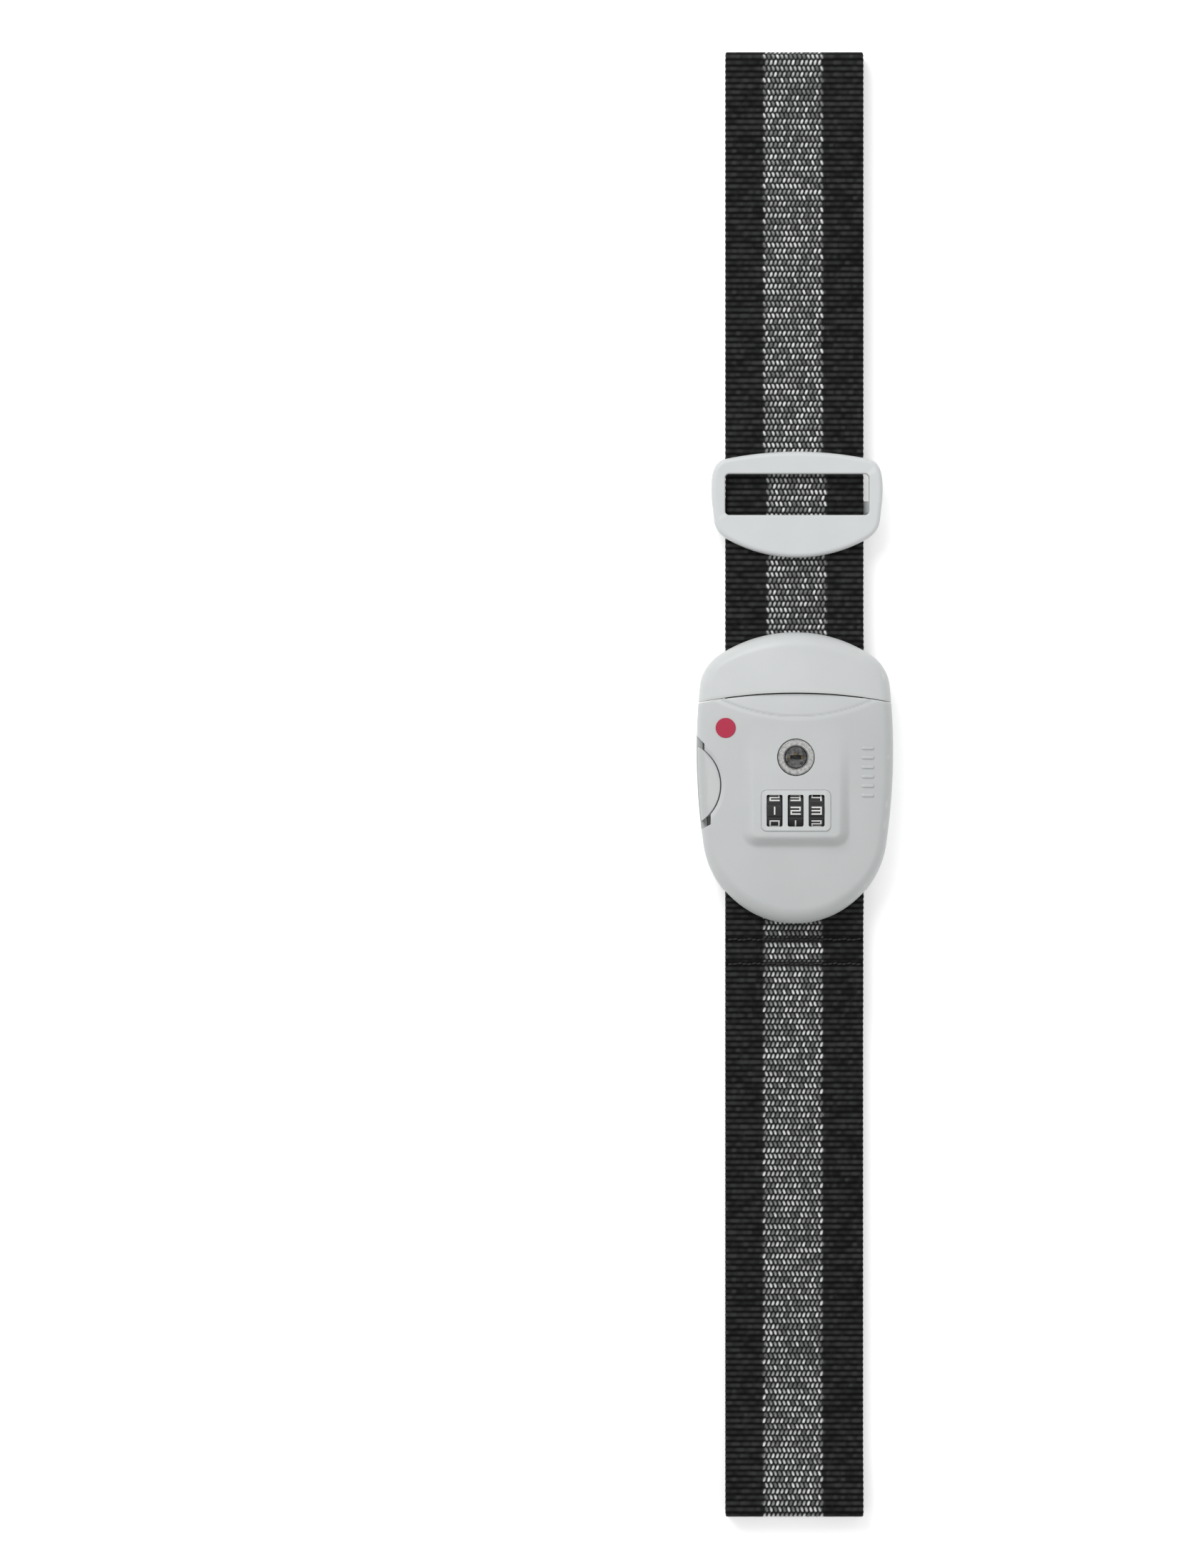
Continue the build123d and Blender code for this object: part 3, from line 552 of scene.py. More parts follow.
def weave(u, s, band_x):
    """Height above the core, painted light, and the centre band's share, at u across and s along."""
    row = np.floor(s / RIB)
    t = s / RIB - row - 0.5
    outside = np.abs(u - band_x) - BAND_HALF
    edge_wave = BAND_WAVE * np.cos(math.pi * row)
    band = np.clip(0.5 - (outside - edge_wave) / BAND_SOFT, 0, 1)
    float_height, float_painted_light = float_weave(row, t, u - band_x)
    rib_height, rib_painted_light = rib_weave(row, t, u)
    height = band * float_height + (1 - band) * rib_height
    painted_light = band * float_painted_light + (1 - band) * rib_painted_light
    return height, np.clip(painted_light, 0, 1), band


def half_widths(s):
    """Half the webbing's width along it: the selvedge dips a little between the ribs."""
    return WEB_HALF - 0.16 * (0.5 - 0.5 * np.cos(2 * math.pi * s / RIB))


def columns(fine):
    """Places across the webbing, closer together over the centre band."""
    if fine:
        band_step, side_step = 0.275, 0.72
    else:
        band_step, side_step = 0.82, 1.8
    inner = BAND_HALF + 1.6
    middle = np.linspace(-inner, inner, int(2 * inner / band_step) + 1)
    side = np.linspace(inner, WEB_HALF - 0.5, int((WEB_HALF - 0.5 - inner) / side_step) + 1)[1:]
    edge = np.array([WEB_HALF - 0.22])
    right = np.concatenate([side, edge])
    return np.concatenate([-right[::-1], middle, right])


def section(fine_front, fine_back):
    """Once round the webbing: places across it, and 1, 0 or -1 for the face each is on."""
    front = columns(fine_front)
    back = columns(fine_back)[::-1]
    across = np.concatenate([front, [WEB_HALF], back, [-WEB_HALF]])
    face = np.concatenate([np.ones(len(front)), [0], -np.ones(len(back)), [0]])
    return across, face


def relief(line, s, u, face, height):
    """Points of a ribbon's surface, raised on both faces and rounded at the selvedges."""
    ahead = np.gradient(line, axis=0)
    ahead /= np.linalg.norm(ahead, axis=1)[:, None]
    normal = np.column_stack([-ahead[:, 1], ahead[:, 0]])
    past = ((np.abs(u) - EDGE_FLAT) / EDGE_ROUND).clip(0, 1)
    rounding = np.sqrt(np.clip(1 - past ** 2, 0, 1))
    lift = face * (CORE + height) * rounding
    x = u * (half_widths(s) / WEB_HALF)[:, None]
    y = line[:, 0][:, None] + lift * normal[:, 0][:, None]
    z = line[:, 1][:, None] + lift * normal[:, 1][:, None]
    return np.stack([x, y, z], axis=-1).reshape(-1, 3)


def ribbon(name, route, spacing=STEP_FINE, fine_front=True, fine_back=False, drift=None, sewn=()):
    """A length of webbing: a closed mesh along a route in the YZ plane, with its weave in relief."""
    line, s = resample(route, spacing)
    across, face = section(fine_front, fine_back)
    band_x = drift(line[:, 0]) if drift else np.full(len(line), BAND_X)
    u = np.broadcast_to(across, (len(line), len(across)))
    along = np.broadcast_to(s[:, None], u.shape)
    height, painted_light, band = weave(u, along, band_x[:, None])
    for row in sewn:
        pulled = np.exp(-((line[:, 0][:, None] - row) / SEWN_HALF) ** 4)
        height = height - SEWN_DIP * pulled
        painted_light = painted_light * (1 - SEWN_SHADE * pulled)
    obj = new_mesh(name, relief(line, s, u, face, height), tube_faces(*u.shape))
    # the weave attribute carries painted light in red, painted shade of the low relief in green, and the
    # band's share in blue
    colour = obj.data.color_attributes.new("weave", "FLOAT_COLOR", "POINT")
    # painted shade from the relief height: lower places darker
    shade = np.clip(0.35 + 2.6 * height, 0, 1)
    values = np.stack([painted_light, shade, band, np.ones_like(painted_light)], axis=-1).reshape(-1)
    colour.data.foreach_set("color", values.astype(np.float32))
    obj.data.materials.append(WEBBING)
    length = float(s[-1] - s[0]) * MM
    return obj, length


def lower_front():
    """The tail, the loop round the lower bar, the front layer and its fold at the end."""
    route = [glide(-72, Z_TAIL, -52, Z_TAIL), glide(-52, Z_TAIL, -38, BAR_Z - LOOP_R)]
    route += [half_turn(LOWER_BAR_Y, BAR_Z - LOOP_R, BAR_Z + LOOP_R, 1)]
    route += [glide(-35, BAR_Z + LOOP_R, -54, Z_OVER_TAIL), glide(-56, Z_OVER_TAIL, -75, Z_OVER_TAIL)]
    route += [glide(-76, Z_OVER_TAIL, -92, Z_FRONT), glide(-94, Z_FRONT, FLARE_Y, Z_FRONT)]
    route += [glide(FLARE_Y - 1, Z_FRONT, FOLD_Y + 1, Z_END_FRONT)]
    route += [half_turn(FOLD_Y, Z_END_FRONT, Z_END_SECOND, -1)]
    obj, length = ribbon("webbing_front_lower", np.vstack(route), fine_front=False, fine_back=True,
                         sewn=ANCHOR_ROWS)
    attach(obj, "lock_body")
    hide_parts("webbing_anchor_loop", "webbing_front_run")


def slack():
    """The spare length folded behind the front layer."""
    route = [glide(FOLD_Y, Z_END_SECOND, FLARE_Y, Z_SECOND)]
    route += [glide(FLARE_Y + 1, Z_SECOND, INNER_FOLD_Y, Z_SECOND)]
    route += [half_turn(INNER_FOLD_Y, Z_SECOND, Z_THIRD, 1)]
    route += [glide(INNER_FOLD_Y - 1, Z_THIRD, FLARE_Y, Z_THIRD)]
    route += [glide(FLARE_Y - 1, Z_THIRD, FOLD_Y, Z_END_THIRD)]
    route += [half_turn(FOLD_Y, Z_END_THIRD, Z_BACK, -1)]
    obj, length = ribbon("webbing_slack", np.vstack(route), spacing=STEP_HIDDEN, fine_front=False)
    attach(obj, "lock_body")
    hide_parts("webbing_slack_folds")


def back():
    """The layer on the floor."""
    route = glide(FOLD_Y, Z_BACK, BACK_SPLIT_Y + BACK_LAP, Z_BACK)
    obj, length = ribbon("webbing_back", route, spacing=STEP_BACK, fine_front=False)
    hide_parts("webbing_back_run")
    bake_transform(obj)


def band_drift(y):
    """The layer between slider and lock lies a little further right than above the slider."""
    t = np.clip((DRIFT_Y - y) / DRIFT_RUN, 0, 1)
    return BAND_X + (BAND_X_LOW - BAND_X) * t * t * (3 - 2 * t)


def upper():
    """The loop round the upper bar, the layer through the slider and the fold at the top."""
    route = [glide(45, BAR_Z - LOOP_R, 42, BAR_Z - LOOP_R)]
    route += [half_turn(UPPER_BAR_Y, BAR_Z - LOOP_R, BAR_Z + LOOP_R, -1)]
    route += [glide(44, BAR_Z + LOOP_R, 60, Z_RUN), glide(61, Z_RUN, TOP_FOLD_Y - 1, Z_RUN)]
    route += [half_turn(TOP_FOLD_Y, Z_RUN, Z_BACK, 1)]
    route += [glide(TOP_FOLD_Y - 1, Z_BACK, BACK_SPLIT_Y + BACK_LAP, Z_BACK)]
    obj, length = ribbon("webbing_upper", np.vstack(route), drift=band_drift)
    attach(obj, "tongue")
    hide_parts("webbing_upper_loop", "webbing_upper_run", "webbing_top_fold")


def return_run():
    """The hidden layer from the upper bar back to the slider."""
    route = [glide(45, BAR_Z - LOOP_R, 52, BAR_Z - LOOP_R)]
    route += [glide(52, BAR_Z - LOOP_R, 66, Z_RETURN), glide(67, Z_RETURN, 82, Z_RETURN)]
    obj, length = ribbon("webbing_return", np.vstack(route), spacing=STEP_HIDDEN, fine_front=False)
    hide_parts("webbing_return_run")
    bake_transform(obj)


def slider_loop():
    """The end of the webbing, round the slider's rear bar."""
    route = [glide(82, Z_RETURN, SLIDER_BAR_Y, Z_RETURN)]
    route += [half_turn(SLIDER_BAR_Y, Z_RETURN, Z_LOOP_TURN, 1)]
    route += [glide(100.5, Z_LOOP_TURN, 96.5, Z_LOOP_TURN), glide(96, Z_LOOP_TURN, 91, Z_LOOP_TAIL)]
    route += [glide(90.5, Z_LOOP_TAIL, 80.5, Z_LOOP_TAIL)]
    obj, length = ribbon("webbing_loop_end", np.vstack(route), spacing=STEP_HIDDEN, fine_front=False)
    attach(obj, "slider")
    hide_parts("webbing_slider_loop")


def stitch(x, y, z, side, rings, sides):
    """Points of one stitch: a bead that dips into the webbing at both ends."""
    points = []
    for i in range(rings):
        t = i / (rings - 1) * 2 - 1
        radius = THREAD_R * math.sqrt(max(0.02, 1 - t ** 4))
        sunk = 0.02 - 0.22 * t * t
        for k in range(sides):
            a = 2 * math.pi * k / sides
            points.append((x + t * STITCH_HALF, y + 0.14 * t + radius * math.cos(a),
                           z + side * (sunk + 0.75 * radius * math.sin(a))))
    return points


def stitches(name, rows, z, body, node, side=1.0):
    """Rows of stitches at height z, seen from above, or with side -1 from below."""
    rings, sides = 9, 8
    around = tube_faces(rings, sides)
    if side < 0:
        around = [face[::-1] for face in around]
    verts, faces = [], []
    for y in rows:
        for n in range(STITCHES):
            x = (n - (STITCHES - 1) / 2) * STITCH_PITCH
            wander = 0.16 * math.sin(n * 1.9 + y)
            faces += [tuple(len(verts) + k for k in face) for face in around]
            verts += stitch(x, y + wander, z, side, rings, sides)
    obj = new_mesh(name, verts, faces)
    obj.data.materials.append(THREAD)
    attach(obj, body)
    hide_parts(node)


# ---------------------------------------------------------------- lock body and cap

def meet(a, radius_a, b, radius_b):
    """The upper of the two points at distance radius_a from a and radius_b from b."""
    gap = Vector((b[0] - a[0], b[1] - a[1]))
    along = (gap.length ** 2 + radius_a ** 2 - radius_b ** 2) / (2 * gap.length)
    off = math.sqrt(radius_a ** 2 - along ** 2)
    ahead = gap.normalized()
    points = []
    for k in (1, -1):
        x = a[0] + along * ahead.x + k * off * ahead.y
        y = a[1] + along * ahead.y - k * off * ahead.x
        points.append((x, y))
    return max(points, key=lambda point: point[1])


def outline_arcs():
    """The tangent arcs down the lock's right side: centre, radius, first and last bearing."""
    top, low = (0, TOP_Y - TOP_R), (0, LOW_Y + LOW_R)
    rise = WIDEST_Y - low[1]
    side_r = (LOCK_HALF ** 2 + rise ** 2 - LOW_R ** 2) / (2 * (LOCK_HALF - LOW_R))
    side = (LOCK_HALF - side_r, WIDEST_Y)
    shoulder = meet(top, TOP_R - SHOULDER_R, side, side_r - SHOULDER_R)
    bearings = [math.pi / 2]
    for a, b in ((top, shoulder), (side, shoulder), (side, low)):
        bearings.append(math.atan2(b[1] - a[1], b[0] - a[0]))
    bearings.append(-math.pi / 2)
    arcs = ((top, TOP_R), (shoulder, SHOULDER_R), (side, side_r), (low, LOW_R))
    return [(centre, radius, bearings[n], bearings[n + 1]) for n, (centre, radius) in enumerate(arcs)]


ARCS = outline_arcs()


def half_width(y, inset):
    """Half the width of the outline at y, drawn in by inset."""
    points = []
    for centre, radius, first, last in ARCS:
        t = np.linspace(first, last, 160)
        reach = radius - inset
        points.append(np.column_stack([centre[0] + reach * np.cos(t), centre[1] + reach * np.sin(t)]))
    points = np.vstack(points)[::-1]
    return np.interp(y, points[:, 1], points[:, 0], left=0.0, right=0.0)


def rim_distance(x, y):
    """Distance in from the outline, exact near the rim and never more than RIM_REACH."""
    x = np.abs(x)
    nearest = np.full(x.shape, RIM_REACH)
    for centre, radius, first, last in ARCS:
        dx, dy = x - centre[0], y - centre[1]
        bearing = np.arctan2(dy, dx)
        here = (bearing <= first + 1e-4) & (bearing >= last - 1e-4)
        inward = radius - np.hypot(dx, dy)
        nearest = np.where(here & (inward < nearest), inward, nearest)
    return np.clip(nearest, 0, RIM_REACH)


def rim_drop(distance, radius):
    """How far a rounded edge of this radius lies below its top, at a distance from the rim."""
    inward = np.clip(radius - distance, 0, radius)
    return radius - np.sqrt(np.clip(radius ** 2 - inward ** 2, 0, None))


def dome_height(x):
    """Height of the dome across the lock, along its crown."""
    return DOME_Z - (DOME_R - np.sqrt(DOME_R ** 2 - x ** 2))


def crown_drop(y):
    """How far the front falls away from its crown along the strap."""
    return (y - CROWN_Y) ** 2 / (2 * CROWN_R)


def pad_height(x, y):
    """A soft-edged raised pad that runs out towards the finger recess."""
    qx = np.abs(x) - (PAD_HALF - PAD_CORNER)
    qy = (PAD_LOW_Y + PAD_CORNER) - y
    round_corner = np.hypot(np.clip(qx, 0, None), np.clip(qy, 0, None))
    outside = round_corner + np.minimum(np.maximum(qx, qy), 0) - PAD_CORNER
    face = smooth(0.0, PAD_SLOPE, -outside)
    rise = PAD_RISE - PAD_FALL * (y - DIAL_Y) + crown_drop(y)
    return face * rise * (1 - smooth(*PAD_FADE_Y, y))


def recess_depth(x, y):
    """The finger recess: a fine groove along its lower edge, then a slope down to the seam."""
    inside = SCOOP_R - np.hypot(x - SCOOP_X, y - SCOOP_Y)
    groove = 0.5 * np.exp(-((inside - 0.35) / 0.5) ** 2)
    return groove + 0.2 * np.clip(inside - 0.3, 0, None)


def notch_edge(x, y):
    """The rounded edge round the button's notch."""
    beyond = np.hypot(x - BUTTON_CX, y - BUTTON_CY) - NOTCH_R
    return (1 - smooth(-0.3, 1.5, beyond)) ** 1.5


def body_height(x, y):
    """Height of the lock body's front; its rim is rounder towards the lower end."""
    top = dome_height(x) - crown_drop(y) + pad_height(x, y) - recess_depth(x, y) - notch_edge(x, y)
    low_end = 1 + 0.5 * smooth(-22, -46, y)
    return top - rim_drop(rim_distance(x, y), EDGE_R * low_end)


def seam(x, gap):
    """Y of the seam between body and cap, moved up by gap."""
    return SEAM_Y - SEAM_R + np.sqrt((SEAM_R + gap) ** 2 - x ** 2)


def cap_height(x, y):
    """Height of the cap, with a small lip at the seam; its rim is rounder towards the upper end."""
    far_end = 1 + 0.35 * smooth(42, 52, y)
    lip = 0.35 * (1 - smooth(0.0, 0.9, y - seam(x, SEAM_GAP))) ** 2
    return dome_height(x) - crown_drop(y) - lip - rim_drop(rim_distance(x, y), EDGE_R * far_end)


def spread(edge, step):
    """Places from -1 to 1, closer together near both ends."""
    count = int(math.pi * edge / step)
    even = np.linspace(-1, 1, count)
    return 0.55 * even + 0.45 * np.sin(even * math.pi / 2)


def rows_along(y_from, y_to, step):
    """Places from y_from to y_to, closer together near y_from."""
    t = np.linspace(0, 1, int(abs(y_to - y_from) / step))
    eased = y_from + (y_to - y_from) * (1 - np.cos(t * math.pi / 2))
    return 0.5 * eased + 0.5 * (y_from + (y_to - y_from) * t)


def slab_faces(rows, cols, upward):
    """Faces of a closed slab: a grid of points, the same grid below it, and the wall between."""
    under = rows * cols
    faces = []
    for i in range(rows - 1):
        for j in range(cols - 1):
            a = i * cols + j
            quad = (a, a + 1, a + 1 + cols, a + cols)
            faces.append(quad)
            faces.append(tuple(under + k for k in quad)[::-1])
    rim = list(range(cols))
    rim += [i * cols + cols - 1 for i in range(1, rows)]
    rim += [(rows - 1) * cols + j for j in range(cols - 2, -1, -1)]
    rim += [i * cols for i in range(rows - 2, 0, -1)]
    for a, b in zip(rim, rim[1:] + rim[:1]):
        faces.append((under + a, under + b, b, a))
    return faces if upward else [face[::-1] for face in faces]


def block(height, inset, drop, y_from, y_to, seam_end, seam_gap, base, step):
    """A closed solid from base up to height(x, y) less drop, inside the outline less inset.

    It runs from one end of the outline towards the seam, and its last rows take the seam's curve.
    """
    across = spread(LOCK_HALF, step)
    rows = rows_along(y_from, y_to, step)[:, None]
    follow = smooth(0.45, 1.0, np.abs(rows - y_from) / abs(y_to - y_from))
    x = across * half_width(rows, inset)
    for _ in range(6):
        y = rows + follow * (seam(x, seam_gap) - seam_end)
        x = across * half_width(y, inset)
    z = height(x, y) - drop
    top = np.stack([x, y, z], axis=-1).reshape(-1, 3)
    under = np.stack([x, y, np.full_like(x, base)], axis=-1).reshape(-1, 3)
    return np.vstack([top, under]), slab_faces(*x.shape, y_to > y_from)


def welded(name, verts, faces):
    """A mesh object without the doubled points where the outline closes to a tip."""
    obj = new_mesh(name, verts, faces)
    work = bmesh.new()
    work.from_mesh(obj.data)
    bmesh.ops.remove_doubles(work, verts=work.verts, dist=0.02 * MM)
    bmesh.ops.dissolve_degenerate(work, edges=work.edges, dist=0.01 * MM)
    work.to_mesh(obj.data)
    work.free()
    return obj


def prism(points, z_low, z_high):
    """A closed prism over an outline given anticlockwise."""
    n = len(points)
    verts = [(x, y, z) for z in (z_low, z_high) for x, y in points]
    faces = [tuple(range(n))[::-1], tuple(range(n, 2 * n))]
    faces += [(i, (i + 1) % n, n + (i + 1) % n, n + i) for i in range(n)]
    return new_mesh("cutter", verts, faces, smooth=False)


def circle(x, y, radius, count=128):
    turns = [2 * math.pi * k / count for k in range(count)]
    return [(x + radius * math.cos(a), y + radius * math.sin(a)) for a in turns]


def rectangle(x0, x1, y0, y1):
    return [(x0, y0), (x1, y0), (x1, y1), (x0, y1)]


def rounded(x, y, width, height, radius):
    """A rectangle about (x, y) with rounded corners."""
    points = []
    for k, (sx, sy) in enumerate(((1, -1), (1, 1), (-1, 1), (-1, -1))):
        for n in range(9):
            a = math.radians(-90 + 90 * k + 90 * n / 8)
            points.append((x + sx * (width / 2 - radius) + radius * math.cos(a),
                           y + sy * (height / 2 - radius) + radius * math.sin(a)))
    return points


def combine(obj, other, operation):
    """Apply a boolean with other, and delete other."""
    step = obj.modifiers.new("cut", "BOOLEAN")
    step.operation = operation
    step.solver = "MANIFOLD"
    step.object = other
    depsgraph = bpy.context.evaluated_depsgraph_get()
    mesh = bpy.data.meshes.new_from_object(obj.evaluated_get(depsgraph))
    obj.modifiers.clear()
    obj.data = mesh
    bpy.data.objects.remove(other)


def mark_edges(obj, angle=0.6):
    """Shade smooth, with creases where faces meet at more than angle."""
    work = bmesh.new()
    work.from_mesh(obj.data)
    for face in work.faces:
        face.smooth = True
    for edge in work.edges:
        edge.smooth = len(edge.link_faces) == 2 and edge.calc_face_angle(0) < angle
    work.to_mesh(obj.data)
    work.free()


def lock_front():
    """The lock body's front: domed, with the pad, the finger recess and the button's notch."""
    end = SEAM_Y - SEAM_GAP
    inner_end = SEAM_Y - WALL - SEAM_RIB
    obj = welded("lock_front", *block(body_height, 0.0, 0.0, LOW_Y, end, end, -SEAM_GAP,
                                      LOCK_BACK, STEP_BODY))
    hollow = welded("hollow", *block(body_height, WALL, WALL, LOW_Y + WALL, inner_end, inner_end,
                                     -WALL - SEAM_RIB, LOCK_BACK - 1, STEP_BODY_INSIDE))
    combine(obj, hollow, "DIFFERENCE")
    for x, y in BOSSES:
        boss = prism(circle(x, y, BOSS_R, 32), PLATE_TOP + 0.05, float(dome_height(x)) - BOSS_SHORT)
        combine(obj, boss, "UNION")
        combine(obj, prism(circle(x, y, SCREW_R, 24), 0, SCREW_Z), "DIFFERENCE")
    cuts = [(rectangle(-MOUTH_X, MOUTH_X, -PAST, MOUTH_END_Y), 0, MOUTH_Z),
            (rectangle(-BLADE_HALF, BLADE_HALF, 20, 40), PLATE_TOP, BLADE_Z),
            (circle(BUTTON_CX, BUTTON_CY, NOTCH_R, 256), NOTCH_Z, ABOVE),
            (NOTCH_ENDS[0], NOTCH_Z, ABOVE),
            (NOTCH_ENDS[1], NOTCH_Z, ABOVE),
            (circle(0, KEY_Y, KEY_HOLE_R), KEY_HOLE_Z, ABOVE),
            (rounded(0, DIAL_Y, *WINDOW, WINDOW_CORNER), WINDOW_Z, ABOVE)]
    for points, low, high in cuts:
        combine(obj, prism(points, low, high), "DIFFERENCE")
    for n in range(RIDGES):
        combine(obj, ridge(RIDGE_X, RIDGE_TOP_Y - RIDGE_PITCH * n), "UNION")
    mark_edges(obj)
    obj.data.materials.clear()
    obj.data.materials.append(HOUSING_WITH_PAINTED_SHADE)
    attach(obj, "lock_body")
    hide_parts("front_shell")


def squared(value):
    """A sine or cosine pushed outwards, which turns a circle into a rounded square."""
    return math.copysign(abs(value) ** 0.5, value)


def ridge(x, y):
    """One rounded grip ridge, half sunk in the dome."""
    base = float(dome_height(x) - crown_drop(y))
    tilt = -x / DOME_R
    verts = []
    rings, sides = 13, 16
    for i in range(rings):
        t = i / (rings - 1) * 2 - 1
        swell = math.sqrt(max(0.01, 1 - abs(t) ** 8))
        along = t * RIDGE_HALF
        for k in range(sides):
            a = 2 * math.pi * k / sides
            wide = RIDGE_WIDE * swell * squared(math.cos(a))
            high = RIDGE_HIGH * swell * squared(math.sin(a))
            verts.append((x + along, y + wide, base + along * tilt + high))
    return new_mesh("cutter", verts, tube_faces(rings, sides))


def cap():
    """The tongue's cap, from the seam to the upper end."""
    end = SEAM_Y + SEAM_GAP
    obj = welded("lock_cap", *block(cap_height, 0.0, 0.0, TOP_Y, end, end, SEAM_GAP, LOCK_BACK, STEP_CAP))
    hollow = welded("hollow", *block(cap_height, WALL, WALL, TOP_Y - WALL, CAP_INNER_Y, end,
                                     SEAM_GAP + CAP_RIB, LOCK_BACK - 1, STEP_CAP_INSIDE))
    room = rectangle(-MOUTH_X, MOUTH_X, CAP_INNER_Y, PAST)
    rib_end = CAP_INNER_Y + 0.05
    combine(hollow, prism(room, 0, ABOVE), "INTERSECT")
    combine(obj, hollow, "DIFFERENCE")
    cuts = [(room, 0, MOUTH_Z),
            (rectangle(-CAP_PLATE_HALF, CAP_PLATE_HALF, 20, rib_end), 0, PLATE_TOP),
            (rectangle(-CAP_BLADE_HALF, CAP_BLADE_HALF, 20, rib_end), PLATE_TOP - 0.1, CAP_BLADE_Z)]
    for points, low, high in cuts:
        combine(obj, prism(points, low, high), "DIFFERENCE")
    mark_edges(obj)
    obj.data.materials.clear()
    obj.data.materials.append(CAP)
    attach(obj, "tongue")
    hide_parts("tongue_cap")


# ---------------------------------------------------------------- numerals

# The bars that each digit is made of, by the letters in strokes().
SEGMENTS = {0: "abcdef", 1: "m", 2: "abged", 3: "abgcd", 4: "fgbc",
            5: "afgcd", 6: "afgedc", 7: "abc", 8: "abcdefg", 9: "gfabcd"}
NUM_W = 3.7
NUM_H = 2.9
STROKE = 0.52
PROUD = 0.05


def strokes(digit):
    """The bars of a squared numeral, as (x0, x1, v0, v1) about its middle."""
    w, h, k = NUM_W / 2, NUM_H / 2, STROKE
    bars = {"a": (-w, w, h - k, h),
            "g": (-w, w, -k / 2, k / 2),
            "d": (-w, w, -h, -h + k),
            "b": (w - k, w, 0, h),
            "c": (w - k, w, -h, 0),
            "e": (-w, -w + k, -h, 0),
            "f": (-w, -w + k, 0, h),
            "m": (-k / 2, k / 2, -h, h)}
    return [bars[letter] for letter in SEGMENTS[digit]]


def numerals(dial):
    """White numerals, standing a hair proud of the dial's face."""
    verts, faces = [], []
    for digit in range(10):
        middle = math.radians(36.0 * (digit - FIRST_DIGIT[dial]))
        for x0, x1, v0, v1 in strokes(digit):
            steps = max(1, int((v1 - v0) / 0.5))
            start = len(verts)
            for i in range(steps + 1):
                angle = middle + (v0 + (v1 - v0) * i / steps) / DIAL_R
                for x, lift in ((x0, -PROUD), (x0, PROUD), (x1, PROUD), (x1, -PROUD)):
                    r = DIAL_R + lift
                    y, z = DIAL_Y + r * math.sin(angle), DIAL_Z + r * math.cos(angle)
                    verts.append((DIAL_X[dial] + x, y, z))
            for i in range(steps):
                a = start + 4 * i
                for k in range(4):
                    faces.append((a + k, a + 4 + k, a + 4 + (k + 1) % 4, a + (k + 1) % 4))
            faces.append((start, start + 1, start + 2, start + 3))
            last = start + 4 * steps
            faces.append((last + 3, last + 2, last + 1, last))
    obj = new_mesh(f"numerals_{dial}", verts, faces, smooth=False)
    obj.data.materials.append(NUMERAL)
    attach(obj, f"{dial}_dial")


# ---------------------------------------------------------------- springs

def spring(name, start, axis, side, length, radius, wire, turns, node):
    """A coil from start along axis, closer at both ends."""
    start, axis, side = np.array(start), np.array(axis), np.array(side)
    third = np.cross(axis, side)
    sides = 10
    t = np.linspace(0, 1, int(turns * 26) + 1)
    angle = 2 * math.pi * turns * t
    rise = smooth(-0.2, 1.2, t)
    rise = np.interp(rise, (rise[0], rise[-1]), (wire, length - wire))
    outward = np.cos(angle)[:, None] * side + np.sin(angle)[:, None] * third
    centre = start + radius * outward + rise[:, None] * axis
    turned = 2 * math.pi * np.arange(sides) / sides
    round_wire = (np.cos(turned)[None, :, None] * outward[:, None, :]
                  + np.sin(turned)[None, :, None] * axis[None, None, :])
    points = centre[:, None, :] + wire * round_wire
    obj = new_mesh(name, points.reshape(-1, 3), tube_faces(len(t), sides))
    obj.data.materials.append(STEEL)
    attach(obj, "lock_body")
    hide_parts(node)
    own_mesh(obj)


# ---------------------------------------------------------------- CAD nodes that stay

def paint(mat, *names):
    """Give CAD nodes a material."""
    for name in names:
        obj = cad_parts[name]
        for n in range(len(obj.material_slots)):
            obj.material_slots[n].material = mat


make_camera()
make_light()
make_floor()

WEBBING = webbing_material()
THREAD = thread_material()
NUMERAL = moulded_plastic("numeral_white", (0.80, 0.80, 0.78), 0.5, 3000.0)
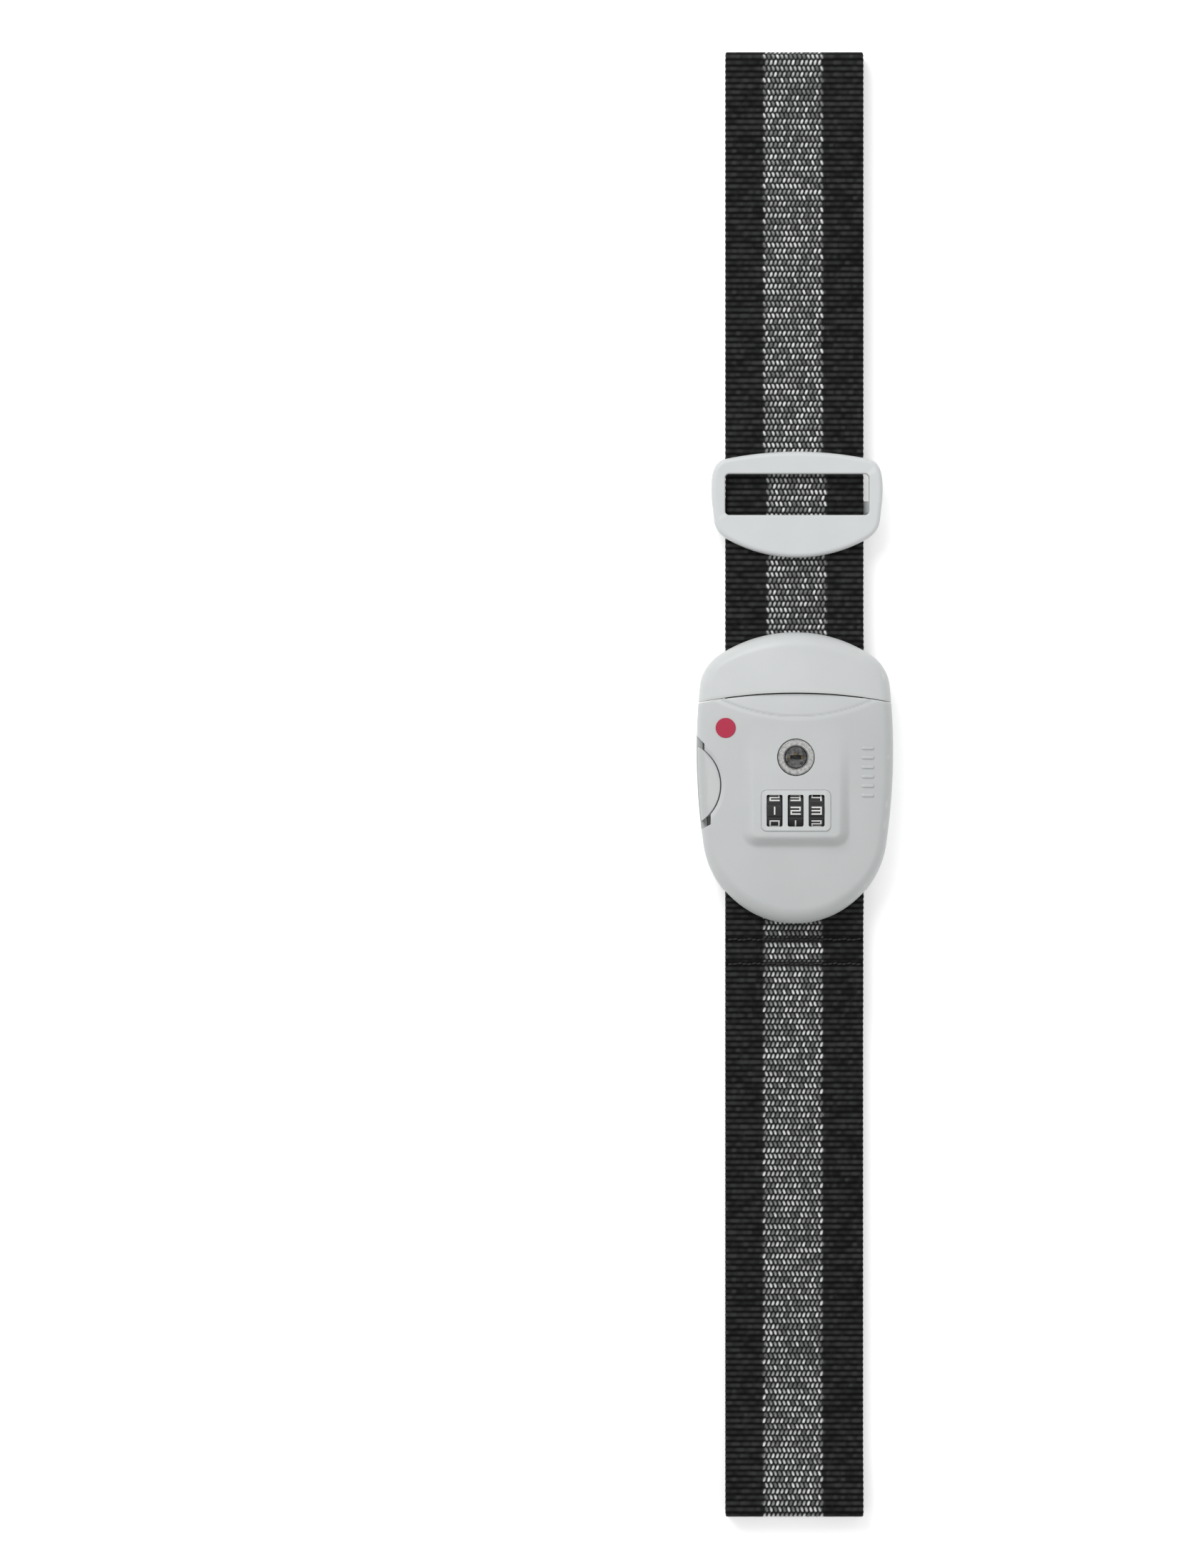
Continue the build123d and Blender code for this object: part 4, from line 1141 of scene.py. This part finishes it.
# the same plastic as the cap, set darker than the cap's grey: painted shade for the light falling off
# towards the lock's lower end
HOUSING_WITH_PAINTED_SHADE = moulded_plastic("housing_grey_painted_shade", (0.54, 0.558, 0.556))
CAP = moulded_plastic("cap_grey", (0.59, 0.61, 0.607))
BUTTON = moulded_plastic("button_grey", (0.50, 0.52, 0.515), soften=0.0006)
SLIDER = moulded_plastic("slider_grey", (0.635, 0.655, 0.655))
DIAL = moulded_plastic("dial_black", (0.011, 0.011, 0.012), 0.4, 1800.0, wear=0.01)
RED = moulded_plastic("inlay_red", (0.42, 0.008, 0.05), 0.25, 900.0, 0.00001, wear=0.02)
STEEL = metal("plated_steel", (0.4, 0.41, 0.42), 0.34)
BLADE = metal("blade_steel", (0.24, 0.245, 0.25), 0.44)
BRIGHT = metal("bright_plate", (0.84, 0.84, 0.83), 0.24, blotch=1100.0, darkest=0.45)
ZINC = metal("cast_zinc", (0.42, 0.42, 0.43), 0.38, 500.0)
PLUG = metal("worn_plug", (0.26, 0.26, 0.265), 0.3, 1400.0, blotch=800.0, darkest=0.15)
BRASS = metal("brass", (0.34, 0.27, 0.15), 0.35)

lower_front()
slack()
back()
upper()
return_run()
slider_loop()
stitches("thread_anchor", ANCHOR_ROWS, Z_OVER_TAIL + THREAD_RISE, "lock_body", "anchor_stitches")
stitches("thread_slider", SLIDER_ROWS, Z_LOOP_TAIL - THREAD_RISE_HIDDEN, "slider", "slider_stitches", -1.0)
for dial in DIAL_X:
    numerals(dial)

lock_front()
cap()
spring("spring_button", start=(-26.6, -3.0, 12.0), axis=(1.0, 0.0, 0.0), side=(0.0, 1.0, 0.0),
       length=8.8, radius=1.7, wire=0.25, turns=6,
       node="button_spring")
spring("spring_reset", start=(21.0, DIAL_Y, 8.5), axis=(0.0, 0.0, 1.0), side=(1.0, 0.0, 0.0),
       length=4.8, radius=1.5, wire=0.2, turns=5,
       node="reset_spring")
paint(HOUSING_WITH_PAINTED_SHADE, "back_cover", "tongue_back", "dial_frame")
paint(BUTTON, "release_button")
paint(SLIDER, "slider_frame")
paint(DIAL, "dial_left", "dial_middle", "dial_right")
paint(RED, "status_inlay")
paint(BRIGHT, "key_ring")
paint(ZINC, "cylinder_housing", "plug_cam", "reset_pin")
paint(PLUG, "key_plug")
paint(BRASS, "clutch_left", "clutch_middle", "clutch_right", "plug_wafers")
paint(STEEL, "cover_screws", "tongue_screws", "lower_strap_bar", "upper_strap_bar", "detent_spring",
      "catch_plate", "spindle", "cam_clip")
paint(BLADE, "tongue_plate")
